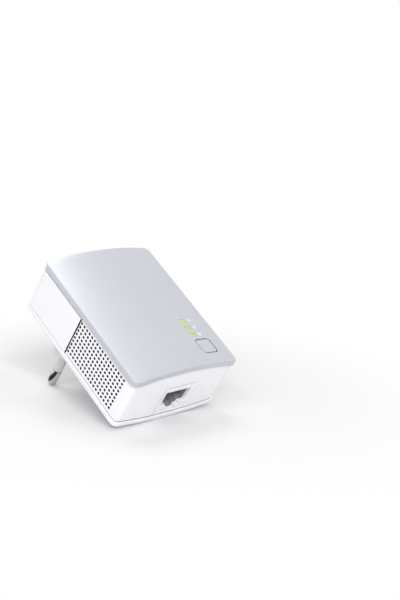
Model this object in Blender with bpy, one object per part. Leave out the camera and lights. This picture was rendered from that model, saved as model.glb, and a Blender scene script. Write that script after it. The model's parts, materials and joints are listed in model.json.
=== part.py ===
"""Plug-in powerline network adapter with a two-pin mains plug, built as a bench assembly.

Every piece is modelled in the adapter's own frame: X across the width, Y from the port end to the
top end, Z from the back to the face, with Z = 0 where the side walls meet the back's edge. One
empty then leans the whole adapter back on its two plug pins, as it stands on a table, with the
middle of its footprint at the origin and the table at Z = 0.
"""

import math

import bmesh
import bpy
from mathutils import Matrix, Vector

MM = 0.001

# --- overall -------------------------------------------------------------------------------------
WIDTH = 52 * MM
LENGTH = 65 * MM
EDGE_DEPTH = 23.6 * MM      # back to face, along the side edges
FACE_RISE = 2.8 * MM        # the face arches this far above its side edges
BACK_RISE = 2.1 * MM        # and the back this far below its own
CORNER = 2.5 * MM           # corner radius, seen from the front
FIT = 0.3 * MM              # the gap between pieces that seat on each other

# --- casing --------------------------------------------------------------------------------------
FACE_BAND = 2.8 * MM        # height of the front cover's edge
BACK_BAND = 2.2 * MM        # height of the back cover's edge
COVER_WALL = 1.6 * MM
HOUSING_WALL = 1.8 * MM
STEP = 0.6 * MM             # the vented half stands back this far from the smooth half
STEP_Y = 36.7 * MM          # where the smooth half begins
TONGUE_WALL = 1.0 * MM
TONGUE_DEPTH = 2.4 * MM     # a cover's tongue reaches this far into the housing

# --- vents ---------------------------------------------------------------------------------------
VENT_PITCH = 1.84 * MM
VENT_HOLE = 1.0 * MM
VENT_COLUMNS = 17
VENT_ROWS = 9
VENT_Y = 6.1 * MM           # first column
VENT_Z = 4.3 * MM           # first row
VENT_MARGIN = 0.35 * MM     # plain border round the outermost holes
GRILLE_WALL = 1.0 * MM
GRILLE_LEDGE = 0.3 * MM     # the ledge in the housing that a grille seats on

# --- plug ----------------------------------------------------------------------------------------
PLUG_FROM_TOP = 16 * MM     # top end to the middle of the plug
PIN_SPACING = 19 * MM
PIN_RADIUS = 2.0 * MM
PIN_REACH = 19 * MM         # beyond the plug's end face
SLEEVE_LENGTH = 10 * MM
SLEEVE_RADIUS = 1.9 * MM
NECK_RADIUS = 1.3 * MM
PIN_COLLAR_RADIUS = 2.9 * MM
PIN_COLLAR = 1.2 * MM
PLUG_HEIGHT = 13.7 * MM     # from Z = 0 to the plug's end face
PLUG_LENGTH = 35.3 * MM
PLUG_FLAT = 22.0 * MM       # length of the plug's two long sides
PLUG_WIDTH = 13.7 * MM
PLUG_WALL = 1.8 * MM
PLUG_END_WALL = 2.4 * MM
CARRIER_HEIGHT = 8.0 * MM

# --- boards --------------------------------------------------------------------------------------
BOARD = 1.2 * MM
BOARD_INSET = 0.6 * MM      # board edge to housing wall
MAIN_BOARD_Z = 15.6 * MM
POWER_BOARD_Z = 3.6 * MM
POWER_BOARD_Y = 18.4 * MM
PILLAR_RADIUS = 2.3 * MM
MAIN_PILLAR_X = 21.0 * MM
POWER_PILLAR_X = 19.6 * MM
MAIN_PILLAR_INSET = (2.5 * MM, 3.6 * MM)   # port end's and top end's walls to their posts
POWER_PILLAR_INSET = (3.6 * MM, 3.6 * MM)  # the same for the power board, from its own ends
SCREW_RADIUS = 1.0 * MM
SCREW_HEAD = 1.9 * MM
SCREW_HEAD_HEIGHT = 1.2 * MM

# --- network port --------------------------------------------------------------------------------
PORT_X = 1.7 * MM
PORT_TOP_Z = 12.6 * MM
PORT_WIDTH = 12.7 * MM
PORT_HEIGHT = 7.4 * MM
LATCH_STEPS = ((6.2 * MM, 1.4 * MM), (4.4 * MM, 1.8 * MM))  # width and depth of each notch
POCKET_WIDTH = 16.5 * MM
POCKET_TOP = 2.8 * MM       # pocket's edge above the port
POCKET_DEPTH = 0.5 * MM
JACK_WIDTH = 15.8 * MM
JACK_DEPTH = 14.6 * MM
JACK_FLOOR_Z = 0.8 * MM
JACK_CAVITY = 12.2 * MM
CONTACTS = 8
CONTACT_PITCH = 1.02 * MM
CONTACT_WIDTH = 0.45 * MM
CONTACT_GAUGE = 0.3 * MM
CONTACT_DROP = 2.4 * MM     # how far a contact's free end hangs below the port's top

# --- button and lights ---------------------------------------------------------------------------
BUTTON_X = 14.85 * MM
BUTTON_Y = 9.0 * MM
BUTTON_WIDTH = 7.5 * MM
BUTTON_HEIGHT = 6.7 * MM
BUTTON_CORNER = 1.3 * MM
BUTTON_FLANGE = 0.9 * MM    # how far the retaining flange passes the button's edge
FLANGE_WALL = 0.8 * MM
STEM_RADIUS = 1.5 * MM
PRESS_TRAVEL = 0.4 * MM
SWITCH_SIZE = 6.0 * MM
SWITCH_HEIGHT = 3.5 * MM
SWITCH_LID = 0.5 * MM
PLUNGER_RADIUS = 1.6 * MM
PLUNGER_FOOT = 0.5 * MM     # foot's step beyond the plunger, and its height
PLUNGER_STAND = 0.8 * MM    # plunger's top above the switch
LIGHTS = 3
LIGHT_X = 12.25 * MM
LIGHT_Y = 15.1 * MM         # the light nearest the button
LIGHT_PITCH = 3.8 * MM
LIGHT_WIDTH = 3.4 * MM
LIGHT_HEIGHT = 1.6 * MM
GUIDE_PLATE = 0.8 * MM

# --- facets --------------------------------------------------------------------------------------
ARCH_STEPS = 14
CORNER_STEPS = 4
ROUND_STEPS = 16

# Where the casing's walls stand, worked out from the sizes above.
HALF = WIDTH / 2
CORE_X = HALF - STEP                        # outside of the vented half
CAVITY_X = CORE_X - HOUSING_WALL            # inside of the housing
CAVITY_Y = (STEP + HOUSING_WALL, LENGTH - STEP - HOUSING_WALL)
PLUG_END_Z = -PLUG_HEIGHT
PLUG_Y = LENGTH - PLUG_FROM_TOP
MAIN_TOP_Z = MAIN_BOARD_Z + BOARD
POWER_TOP_Z = POWER_BOARD_Z + BOARD


# ==================================================================================== mesh helpers
def arch_height(x, rise):
    """Height of a circular arch at x, 0 at the side edges and rise at the middle."""
    radius = (HALF ** 2 + rise ** 2) / (2 * rise)
    return math.sqrt(radius ** 2 - x ** 2) - (radius - rise)


def face_z(x, depth=0.0):
    """Z of the face's surface at x, or of a surface that lies depth behind it."""
    return EDGE_DEPTH + arch_height(x, FACE_RISE) - depth


def back_z(x, depth=0.0):
    """Z of the back's surface at x, or of a surface that lies depth inside it."""
    return -arch_height(x, BACK_RISE) + depth


def rectangle(x0, x1, y0, y1):
    return [(x0, y0), (x1, y0), (x1, y1), (x0, y1)]


def rounded_rectangle(x0, x1, y0, y1, radius, steps=CORNER_STEPS):
    """Outline of a rectangle with round corners, counter-clockwise."""
    centres = (
        (x1 - radius, y0 + radius, -90),
        (x1 - radius, y1 - radius, 0),
        (x0 + radius, y1 - radius, 90),
        (x0 + radius, y0 + radius, 180),
    )
    points = []
    for cx, cy, start in centres:
        for step in range(steps + 1):
            angle = math.radians(start + 90 * step / steps)
            points.append((cx + radius * math.cos(angle), cy + radius * math.sin(angle)))
    return points


def circle(cx, cy, radius, steps=ROUND_STEPS):
    turn = 2 * math.pi / steps
    return [(cx + radius * math.cos(turn * i), cy + radius * math.sin(turn * i)) for i in range(steps)]


def plug_outline(inset=0.0):
    """The flattened hexagon of a two-pin plug, drawn in by inset on every side."""
    slant = math.hypot((PLUG_LENGTH - PLUG_FLAT) / 2, PLUG_WIDTH / 2)
    tip = PLUG_LENGTH / 2 - inset * slant / (PLUG_WIDTH / 2)
    half_width = PLUG_WIDTH / 2 - inset
    flat = tip - half_width * (PLUG_LENGTH - PLUG_FLAT) / PLUG_WIDTH
    return [
        (tip, PLUG_Y),
        (flat, PLUG_Y + half_width),
        (-flat, PLUG_Y + half_width),
        (-tip, PLUG_Y),
        (-flat, PLUG_Y - half_width),
        (flat, PLUG_Y - half_width),
    ]


def solid_from(build, name):
    """A new object whose mesh is what build(bm) leaves, with its faces turned outwards."""
    bm = bmesh.new()
    build(bm)
    bmesh.ops.recalc_face_normals(bm, faces=bm.faces)
    mesh = bpy.data.meshes.new(name)
    bm.to_mesh(mesh)
    bm.free()
    obj = bpy.data.objects.new(name, mesh)
    bpy.context.scene.collection.objects.link(obj)
    return obj


def prism(outline, z0, z1, name="prism"):
    """An outline in XY, extruded from z0 to z1."""

    def build(bm):
        face = bm.faces.new([bm.verts.new((x, y, z0)) for x, y in outline])
        sides = bmesh.ops.extrude_face_region(bm, geom=[face])
        top = [v for v in sides["geom"] if isinstance(v, bmesh.types.BMVert)]
        bmesh.ops.translate(bm, verts=top, vec=(0, 0, z1 - z0))

    return solid_from(build, name)


def block(x0, x1, y0, y1, z0, z1, name="block"):
    return prism(rectangle(x0, x1, y0, y1), z0, z1, name)


def extruded_x(profile, x0, x1, name="extruded"):
    """An outline in YZ, extruded from x0 to x1."""

    def build(bm):
        face = bm.faces.new([bm.verts.new((x0, y, z)) for y, z in profile])
        sides = bmesh.ops.extrude_face_region(bm, geom=[face])
        far = [v for v in sides["geom"] if isinstance(v, bmesh.types.BMVert)]
        bmesh.ops.translate(bm, verts=far, vec=(x1 - x0, 0, 0))

    return solid_from(build, name)


def extruded_y(profile, y0, y1, name="extruded"):
    """An outline in XZ, extruded from y0 to y1."""

    def build(bm):
        face = bm.faces.new([bm.verts.new((x, y0, z)) for x, z in profile])
        sides = bmesh.ops.extrude_face_region(bm, geom=[face])
        far = [v for v in sides["geom"] if isinstance(v, bmesh.types.BMVert)]
        bmesh.ops.translate(bm, verts=far, vec=(0, y1 - y0, 0))

    return solid_from(build, name)


def arched_slab(low, high, x_half, y0, y1, name="slab"):
    """A bar along Y whose lower and upper sides follow low(x) and high(x)."""
    xs = [x_half * (2 * i / ARCH_STEPS - 1) for i in range(ARCH_STEPS + 1)]
    outline = [(x, low(x)) for x in xs] + [(x, high(x)) for x in reversed(xs)]
    return extruded_y(outline, y0, y1, name)


def turned(profile, x, y, name="turned", steps=ROUND_STEPS):
    """A profile of (radius, z) points spun about the vertical line through x, y."""

    def build(bm):
        points = [bm.verts.new((radius, 0, z)) for radius, z in profile]
        edges = [bm.edges.new(pair) for pair in zip(points, points[1:])]
        bmesh.ops.spin(
            bm,
            geom=points + edges,
            cent=(0, 0, 0),
            axis=(0, 0, 1),
            angle=2 * math.pi,
            steps=steps,
            use_merge=True,
        )
        bmesh.ops.remove_doubles(bm, verts=bm.verts, dist=1e-6)
        bmesh.ops.translate(bm, verts=bm.verts, vec=(x, y, 0))

    return solid_from(build, name)


def lying_cylinder(x, y, z, radius, length, along, name, steps=ROUND_STEPS):
    """A cylinder lying along X or Y, centred at x, y, z."""
    obj = prism(circle(0, 0, radius, steps), -length / 2, length / 2, name)
    turn = Matrix.Rotation(math.pi / 2, 4, "Y" if along == "X" else "X")
    obj.data.transform(Matrix.Translation((x, y, z)) @ turn)
    return obj


def combined(obj, tool, operation):
    """obj after a Boolean with tool, which is used up."""
    modifier = obj.modifiers.new(operation, "BOOLEAN")
    modifier.operation = operation
    modifier.object = tool
    bpy.context.view_layer.update()
    graph = bpy.context.evaluated_depsgraph_get()
    mesh = bpy.data.meshes.new_from_object(obj.evaluated_get(graph))
    obj.modifiers.clear()
    obj.data = mesh
    bpy.data.objects.remove(tool)
    return obj


def cut(obj, *tools):
    for tool in tools:
        combined(obj, tool, "DIFFERENCE")
    return obj


def join(obj, *others):
    for other in others:
        combined(obj, other, "UNION")
    return obj


def keep_inside(obj, tool):
    return combined(obj, tool, "INTERSECT")


# ======================================================================================= materials
def finish(name, colour, roughness, metallic=0.0):
    """A Principled material."""
    material = bpy.data.materials.new(name)
    material.use_nodes = True
    shader = material.node_tree.nodes["Principled BSDF"]
    shader.inputs["Base Color"].default_value = (*colour, 1)
    shader.inputs["Roughness"].default_value = roughness
    shader.inputs["Metallic"].default_value = metallic
    return material


def make_finishes():
    return {
        "silver_paint": finish("silver_paint", (0.66, 0.67, 0.71), 0.35, 0.5),
        "white_gloss": finish("white_gloss", (0.86, 0.86, 0.87), 0.25),
        "nickel": finish("nickel", (0.78, 0.77, 0.75), 0.15, 1.0),
        "gold": finish("gold", (0.83, 0.62, 0.27), 0.25, 1.0),
        "sleeve_grey": finish("sleeve_grey", (0.55, 0.55, 0.57), 0.5),
        "black_plastic": finish("black_plastic", (0.03, 0.03, 0.035), 0.45),
        "jack_grey": finish("jack_grey", (0.16, 0.16, 0.17), 0.5),
        "green_light": finish("green_light", (0.45, 0.75, 0.1), 0.3),
        "board_green": finish("board_green", (0.04, 0.2, 0.09), 0.45),
        "ferrite": finish("ferrite", (0.06, 0.06, 0.065), 0.7),
        "yellow_tape": finish("yellow_tape", (0.8, 0.62, 0.1), 0.4),
        "copper": finish("copper", (0.72, 0.35, 0.2), 0.3, 1.0),
        "steel": finish("steel", (0.6, 0.6, 0.6), 0.3, 1.0),
        "capacitor_blue": finish("capacitor_blue", (0.05, 0.12, 0.4), 0.4),
    }


FINISHES = {}
PIECES = []


def piece(obj, name, finish_name, smooth=True):
    """Names a finished solid, puts its origin at its middle and gives it its material."""
    obj.name = obj.data.name = name
    corners = [Vector(corner) for corner in obj.bound_box]
    middle = (corners[0] + corners[6]) / 2
    obj.data.transform(Matrix.Translation(-middle))
    obj.location = middle
    obj.data.materials.clear()
    obj.data.materials.append(FINISHES[finish_name])
    if smooth:
        obj.data.shade_smooth()
        obj.data.set_sharp_from_angle(angle=math.radians(35))
    PIECES.append(obj)
    return obj


# ========================================================================================== casing
def casing_prism(x_half, y0, y1, radius):
    """A tall round-cornered prism that trims a slab to the casing's outline."""
    outline = rounded_rectangle(-x_half, x_half, y0, y1, radius)
    return prism(outline, -2 * BACK_RISE - BACK_BAND, EDGE_DEPTH + 2 * FACE_RISE)


def tongue(low, high):
    """A ring just inside the housing's walls, between low(x) and high(x)."""
    half = CAVITY_X - FIT
    y0, y1 = CAVITY_Y[0] + FIT, CAVITY_Y[1] - FIT
    radius = CORNER - STEP - HOUSING_WALL + TONGUE_WALL + FIT
    ring = keep_inside(arched_slab(low, high, half, y0, y1), casing_prism(half, y0, y1, radius))
    inner = casing_prism(
        half - TONGUE_WALL, y0 + TONGUE_WALL, y1 - TONGUE_WALL, max(radius - TONGUE_WALL, FIT)
    )
    return cut(ring, inner)


def button_outline(margin=0.0):
    return rounded_rectangle(
        BUTTON_X - BUTTON_WIDTH / 2 - margin,
        BUTTON_X + BUTTON_WIDTH / 2 + margin,
        BUTTON_Y - BUTTON_HEIGHT / 2 - margin,
        BUTTON_Y + BUTTON_HEIGHT / 2 + margin,
        BUTTON_CORNER + margin,
    )


def light_centres():
    return [(LIGHT_X, LIGHT_Y + LIGHT_PITCH * i) for i in range(LIGHTS)]


def light_outline(cx, cy, margin=0.0):
    """A slot with round ends."""
    half_w, half_h = LIGHT_WIDTH / 2 + margin, LIGHT_HEIGHT / 2 + margin
    return rounded_rectangle(cx - half_w, cx + half_w, cy - half_h, cy + half_h, half_h * 0.999)


def front_cover():
    """The silver lid: an arched plate with a deep edge, a tongue, and the button's and lights' holes."""
    lid = arched_slab(lambda x: face_z(x, FACE_BAND), face_z, HALF, 0, LENGTH)
    keep_inside(lid, casing_prism(HALF, 0, LENGTH, CORNER))
    hollow = arched_slab(
        lambda x: face_z(x, 2 * FACE_BAND),
        lambda x: face_z(x, COVER_WALL),
        HALF,
        COVER_WALL,
        LENGTH - COVER_WALL,
    )
    keep_inside(
        hollow,
        casing_prism(HALF - COVER_WALL, COVER_WALL, LENGTH - COVER_WALL, CORNER - COVER_WALL),
    )
    cut(lid, hollow)
    join(
        lid,
        tongue(lambda x: face_z(x, FACE_BAND + TONGUE_DEPTH), lambda x: face_z(x, COVER_WALL / 2)),
    )
    top = EDGE_DEPTH + 2 * FACE_RISE
    cut(lid, prism(button_outline(FIT), EDGE_DEPTH - FACE_BAND, top))
    for cx, cy in light_centres():
        cut(lid, prism(light_outline(cx, cy, FIT), EDGE_DEPTH - FACE_BAND, top))
    piece(lid, "front_cover", "silver_paint")


def port_outline(margin=0.0):
    """The socket's opening in XZ: a rectangle with the latch's two notches below it."""
    half = PORT_WIDTH / 2 + margin
    z = PORT_TOP_Z + margin
    right = [(PORT_X + half, z)]
    z = PORT_TOP_Z - PORT_HEIGHT - margin
    right.append((PORT_X + half, z))
    for width, depth in LATCH_STEPS:
        right.append((PORT_X + width / 2 + margin, z))
        z -= depth
        right.append((PORT_X + width / 2 + margin, z))
    left = [(2 * PORT_X - x, z) for x, z in reversed(right)]
    return right + left


def port_prism(y0, y1, margin=0.0):
    return extruded_y(port_outline(margin), y0, y1)


def vent_field():
    """(y0, y1, z0, z1) of a grille: its holes and a plain border."""
    edge = VENT_HOLE / 2 + VENT_MARGIN
    return (
        VENT_Y - edge,
        VENT_Y + (VENT_COLUMNS - 1) * VENT_PITCH + edge,
        VENT_Z - edge,
        VENT_Z + (VENT_ROWS - 1) * VENT_PITCH + edge,
    )


def housing():
    """The white middle: a tube that closes on both covers, stepped in round its vented half."""
    shell = casing_prism(CORE_X, STEP, LENGTH - STEP, CORNER - STEP)
    smooth_half = casing_prism(HALF - FIT / 2, STEP_Y - 2 * CORNER, LENGTH - FIT / 2, CORNER)
    beyond = 2 * HALF
    cut(
        smooth_half,
        block(-beyond, beyond, -beyond, STEP_Y, -EDGE_DEPTH, 2 * EDGE_DEPTH),
    )
    join(shell, smooth_half)
    keep_inside(
        shell,
        arched_slab(
            lambda x: back_z(x, BACK_BAND + FIT),
            lambda x: face_z(x, FACE_BAND + FIT),
            HALF,
            -STEP,
            LENGTH + STEP,
        ),
    )
    cavity_radius = CORNER - STEP - HOUSING_WALL + 2 * FIT
    cut(shell, casing_prism(CAVITY_X, *CAVITY_Y, cavity_radius))
    y0, y1, z0, z1 = vent_field()
    for side in (-1, 1):
        outer, seat, inner = side * HALF, side * (CORE_X - GRILLE_WALL - FIT), side * (CAVITY_X - STEP)
        cut(
            shell,
            block(*sorted((outer, seat)), y0 - FIT, y1 + FIT, z0 - FIT, z1 + FIT),
            block(
                *sorted((outer, inner)),
                y0 + GRILLE_LEDGE,
                y1 - GRILLE_LEDGE,
                z0 + GRILLE_LEDGE,
                z1 - GRILLE_LEDGE,
            ),
        )
    pocket = block(
        PORT_X - POCKET_WIDTH / 2,
        PORT_X + POCKET_WIDTH / 2,
        -STEP,
        STEP + POCKET_DEPTH,
        -EDGE_DEPTH / 4,
        PORT_TOP_Z + POCKET_TOP,
    )
    cut(shell, pocket, port_prism(-STEP, 2 * CAVITY_Y[0]))
    join(shell, *board_pillars())
    piece(shell, "housing", "white_gloss")


def main_pillars():
    ys = (CAVITY_Y[0] + MAIN_PILLAR_INSET[0], CAVITY_Y[1] - MAIN_PILLAR_INSET[1])
    return [(side * MAIN_PILLAR_X, y) for side in (-1, 1) for y in ys]


def power_pillars():
    ys = (POWER_BOARD_Y + POWER_PILLAR_INSET[0], CAVITY_Y[1] - POWER_PILLAR_INSET[1])
    return [(side * POWER_PILLAR_X, y) for side in (-1, 1) for y in ys]


def board_pillars():
    """Four posts on the housing's side walls that the main board is screwed up to."""
    posts = []
    low, high = MAIN_TOP_Z + FIT, EDGE_DEPTH - FACE_BAND - TONGUE_DEPTH - FIT
    for x, y in main_pillars():
        side = math.copysign(1, x)
        wall = side * (CAVITY_X + FIT)
        post = block(*sorted((x, wall)), y - PILLAR_RADIUS, y + PILLAR_RADIUS, low, high)
        join(post, prism(circle(x, y, PILLAR_RADIUS), low, high))
        cut(post, prism(circle(x, y, SCREW_RADIUS + FIT), low - FIT, high - FIT))
        posts.append(post)
    return posts


def vent_grilles():
    """Perforated plates that fill the two side windows flush with the vented half."""
    y0, y1, z0, z1 = vent_field()
    for side, name in ((-1, "vent_grille_left"), (1, "vent_grille_right")):
        xs = sorted((side * CORE_X, side * (CORE_X - GRILLE_WALL)))
        plate = block(*xs, y0, y1, z0, z1)
        cut(plate, vent_cutter(xs[0] - GRILLE_WALL, xs[1] + GRILLE_WALL))
        piece(plate, name, "white_gloss", smooth=False)


def vent_cutter(x0, x1):
    """One prism for each hole of the square grid, standing on its corner."""

    def build(bm):
        for column in range(VENT_COLUMNS):
            for row in range(VENT_ROWS):
                y, z = VENT_Y + column * VENT_PITCH, VENT_Z + row * VENT_PITCH
                diamond = [
                    bm.verts.new((x0, y + dy * VENT_HOLE / 2, z + dz * VENT_HOLE / 2))
                    for dy, dz in ((1, 0), (0, 1), (-1, 0), (0, -1))
                ]
                sides = bmesh.ops.extrude_face_region(bm, geom=[bm.faces.new(diamond)])
                far = [v for v in sides["geom"] if isinstance(v, bmesh.types.BMVert)]
                bmesh.ops.translate(bm, verts=far, vec=(x1 - x0, 0, 0))

    return solid_from(build, "vent_cutter")


def back_cover():
    """The white back: an arched plate with a tongue, the hollow plug and posts for the power board."""
    plate = arched_slab(back_z, lambda x: back_z(x, BACK_BAND), HALF, 0, LENGTH)
    keep_inside(plate, casing_prism(HALF, 0, LENGTH, CORNER))
    join(
        plate,
        tongue(lambda x: back_z(x, BACK_BAND / 2), lambda x: back_z(x, BACK_BAND + TONGUE_DEPTH)),
        prism(plug_outline(), PLUG_END_Z, 0),
        *[
            prism(circle(x, y, PILLAR_RADIUS), back_z(x, BACK_BAND / 2), POWER_BOARD_Z - FIT)
            for x, y in power_pillars()
        ],
    )
    cut(
        plate,
        prism(plug_outline(PLUG_WALL), PLUG_END_Z + PLUG_END_WALL, 2 * BACK_BAND),
        *[
            prism(circle(x, PLUG_Y, PIN_RADIUS + FIT), PLUG_END_Z - FIT, PLUG_END_Z + 2 * PLUG_END_WALL)
            for x in pin_places()
        ],
        *[
            prism(circle(x, y, SCREW_RADIUS + FIT), back_z(x, BACK_BAND / 2 + FIT), POWER_BOARD_Z)
            for x, y in power_pillars()
        ],
        jack_relief(),
    )
    piece(plate, "back_cover", "white_gloss")


def jack_relief():
    """The gap in the back cover's tongue where the socket stands behind the port."""
    half = JACK_WIDTH / 2 + FIT
    return block(
        PORT_X - half,
        PORT_X + half,
        CAVITY_Y[0],
        CAVITY_Y[0] + 2 * FIT + 2 * TONGUE_WALL,
        back_z(PORT_X, BACK_BAND),
        POWER_TOP_Z + BACK_BAND,
    )


# ============================================================================================ plug
def pin_places():
    return (-PIN_SPACING / 2, PIN_SPACING / 2)


def plug_pins():
    """Nickelled pins: a bare end, a neck inside the sleeve, a collar and a shank to the board."""
    tip_z = PLUG_END_Z - PIN_REACH
    sleeve_end = PLUG_END_Z - SLEEVE_LENGTH
    collar_z = PLUG_END_Z + PLUG_END_WALL + FIT
    dome = [
        (PIN_RADIUS * math.sin(math.radians(a)), tip_z + PIN_RADIUS * (1 - math.cos(math.radians(a))))
        for a in (0, 30, 60, 90)
    ]
    profile = dome + [
        (PIN_RADIUS, sleeve_end - FIT),
        (NECK_RADIUS, sleeve_end - FIT),
        (NECK_RADIUS, collar_z),
        (PIN_COLLAR_RADIUS, collar_z),
        (PIN_COLLAR_RADIUS, collar_z + PIN_COLLAR),
        (NECK_RADIUS, collar_z + PIN_COLLAR),
        (NECK_RADIUS, shank_top()),
        (0, shank_top()),
    ]
    for x, side in zip(pin_places(), ("left", "right")):
        piece(turned(profile, x, PLUG_Y), f"plug_pin_{side}", "nickel")
        bore = NECK_RADIUS + FIT
        tube = [
            (bore, sleeve_end),
            (SLEEVE_RADIUS, sleeve_end),
            (SLEEVE_RADIUS, collar_z - FIT),
            (bore, collar_z - FIT),
            (bore, sleeve_end),
        ]
        piece(turned(tube, x, PLUG_Y), f"pin_sleeve_{side}", "sleeve_grey")


def shank_top():
    """A pin's inner end, one contact blade below the power board."""
    return POWER_BOARD_Z - FIT - 2 * CONTACT_GAUGE - FIT


def pin_carrier():
    """The insulating block that clamps both pins' collars to the plug's end wall."""
    low = PLUG_END_Z + PLUG_END_WALL + FIT
    carrier = prism(plug_outline(PLUG_WALL + FIT), low, low + CARRIER_HEIGHT)
    for x in pin_places():
        cut(
            carrier,
            prism(circle(x, PLUG_Y, PIN_COLLAR_RADIUS + FIT), low - FIT, low + PIN_COLLAR + FIT),
            prism(circle(x, PLUG_Y, NECK_RADIUS + FIT), low, low + 2 * CARRIER_HEIGHT),
        )
    piece(carrier, "pin_carrier", "black_plastic")


def pin_contacts():
    """Spring blades under the power board that the pins' inner ends press on."""
    low = shank_top() + FIT
    for x, side in zip(pin_places(), ("left", "right")):
        blade = block(
            x - PIN_RADIUS,
            x + PIN_RADIUS,
            PLUG_Y - 2 * PIN_RADIUS,
            PLUG_Y + PIN_RADIUS,
            low,
            low + 2 * CONTACT_GAUGE,
        )
        piece(blade, f"pin_contact_{side}", "copper", smooth=False)


# ========================================================================================== boards
def board(inset, y0, z, holes, name):
    """A circuit board inset from the housing's walls, with holes for its screws."""
    half = CAVITY_X - inset
    plate = block(-half, half, y0, CAVITY_Y[1] - inset, z, z + BOARD)
    for x, y in holes:
        cut(plate, prism(circle(x, y, SCREW_RADIUS + FIT), z - BOARD, z + 2 * BOARD))
    piece(plate, name, "board_green", smooth=False)


def boards():
    main_end = EDGE_DEPTH - FACE_BAND - TONGUE_DEPTH - 2 * FIT
    board(BOARD_INSET, CAVITY_Y[0] + BOARD_INSET, MAIN_BOARD_Z, main_pillars(), "main_board")
    screws("main", main_pillars(), MAIN_BOARD_Z - FIT, main_end)
    power_inset = TONGUE_WALL + 2 * FIT
    board(power_inset, POWER_BOARD_Y, POWER_BOARD_Z, power_pillars(), "power_board")
    screws("power", power_pillars(), POWER_TOP_Z + FIT, back_z(POWER_PILLAR_X, BACK_BAND))


def screws(label, places, seat, end):
    """Pan-headed screws: a head against a board at seat, and a shank that stops at end."""
    head = seat - math.copysign(SCREW_HEAD_HEIGHT, end - seat)
    profile = [
        (0, head),
        (SCREW_HEAD, head),
        (SCREW_HEAD, seat),
        (SCREW_RADIUS, seat),
        (SCREW_RADIUS, end),
        (0, end),
    ]
    for (x, y), name in zip(places, ("left_low", "left_high", "right_low", "right_high")):
        piece(turned(profile, x, y, steps=12), f"{label}_board_screw_{name}", "steel")


def on_power_board(build_height):
    """(low, high) Z of a part that stands on the power board."""
    low = POWER_TOP_Z + FIT
    return low, low + build_height


def power_parts():
    """What turns mains into the adapter's own supply, laid out round the pins."""
    low, high = on_power_board(9.6 * MM)
    core = block(-14.5 * MM, -2.5 * MM, 20.0 * MM, 33.0 * MM, low, high)
    window = block(
        -12.0 * MM, -5.0 * MM, 19.0 * MM, 34.0 * MM, low + 2.2 * MM, high - 2.2 * MM
    )
    cut(core, window)
    piece(core, "transformer_core", "ferrite", smooth=False)
    winding = block(
        -12.0 * MM + FIT,
        -5.0 * MM - FIT,
        19.0 * MM,
        34.0 * MM,
        low + 2.2 * MM + FIT,
        high - 2.2 * MM - FIT,
    )
    piece(winding, "transformer_winding", "yellow_tape", smooth=False)

    for name, x, y, radius, length, along in (
        ("bulk_capacitor_1", 5.2 * MM, 27.0 * MM, 4.0 * MM, 14.0 * MM, "Y"),
        ("bulk_capacitor_2", 14.0 * MM, 31.5 * MM, 4.0 * MM, 14.0 * MM, "Y"),
        ("output_capacitor", -14.5 * MM, LENGTH - 26.8 * MM, 3.2 * MM, 11.0 * MM, "X"),
    ):
        piece(
            lying_cylinder(x, y, low + radius, radius, length, along, name),
            name,
            "capacitor_blue",
        )
    for name, x0, x1, from_top, to_top, height, look in (
        ("filter_capacitor", -6.5 * MM, 6.5 * MM, 28.5 * MM, 23.0 * MM, 9.5 * MM, "yellow_tape"),
        ("bridge_rectifier", 9.5 * MM, 16.5 * MM, 24.0 * MM, 17.5 * MM, 2.6 * MM, "black_plastic"),
        ("supply_chip", -20.5 * MM, -16.5 * MM, 38.0 * MM, 33.0 * MM, 2.0 * MM, "black_plastic"),
        ("board_connector", -6.0 * MM, 6.0 * MM, 6.5 * MM, 3.5 * MM, 10.2 * MM, "black_plastic"),
    ):
        solid = block(x0, x1, LENGTH - from_top, LENGTH - to_top, low, low + height)
        piece(solid, name, look, smooth=False)
    fuse = prism(circle(-12.5 * MM, LENGTH - 18.5 * MM, 4.0 * MM), low, low + 7.5 * MM)
    piece(fuse, "fuse", "black_plastic")
    varistor = lying_cylinder(0, LENGTH - 10.5 * MM, low + 4.6 * MM, 4.6 * MM, 3.6 * MM, "Y", "varistor")
    piece(varistor, "varistor", "capacitor_blue")
    choke = turned(
        [
            (2.2 * MM, low),
            (5.0 * MM, low),
            (5.0 * MM, low + 6.0 * MM),
            (2.2 * MM, low + 6.0 * MM),
            (2.2 * MM, low),
        ],
        12.8 * MM,
        LENGTH - 10.5 * MM,
    )
    piece(choke, "line_choke", "copper")
    signal = block(-17.0 * MM, -9.0 * MM, LENGTH - 12.5 * MM, LENGTH - 5.5 * MM, low, low + 6.5 * MM)
    piece(signal, "signal_transformer", "ferrite", smooth=False)


def main_board_parts():
    """Chips on the face side of the main board."""
    low, top = MAIN_TOP_Z + FIT, LENGTH
    for name, x0, x1, y0, y1, height, look in (
        ("network_chip", -7.5 * MM, 4.5 * MM, top - 31.0 * MM, top - 19.0 * MM, 1.4 * MM, "black_plastic"),
        ("memory_chip", -7.0 * MM, 3.5 * MM, top - 15.0 * MM, top - 7.5 * MM, 1.1 * MM, "black_plastic"),
        ("port_chip", -14.0 * MM, -8.0 * MM, 23.0 * MM, 29.0 * MM, 1.0 * MM, "black_plastic"),
        ("port_transformer", -9.5 * MM, 5.5 * MM, 7.0 * MM, 14.5 * MM, 3.6 * MM, "black_plastic"),
        ("clock_crystal", 9.0 * MM, 12.2 * MM, top - 27.5 * MM, top - 25.0 * MM, 0.9 * MM, "steel"),
    ):
        piece(block(x0, x1, y0, y1, low, low + height), name, look, smooth=False)
    pad = block(
        -6.5 * MM, 3.5 * MM, top - 30.0 * MM, top - 20.0 * MM, low + 1.4 * MM + FIT, low + 4.0 * MM
    )
    piece(pad, "heat_spreader", "steel", smooth=False)


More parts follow.
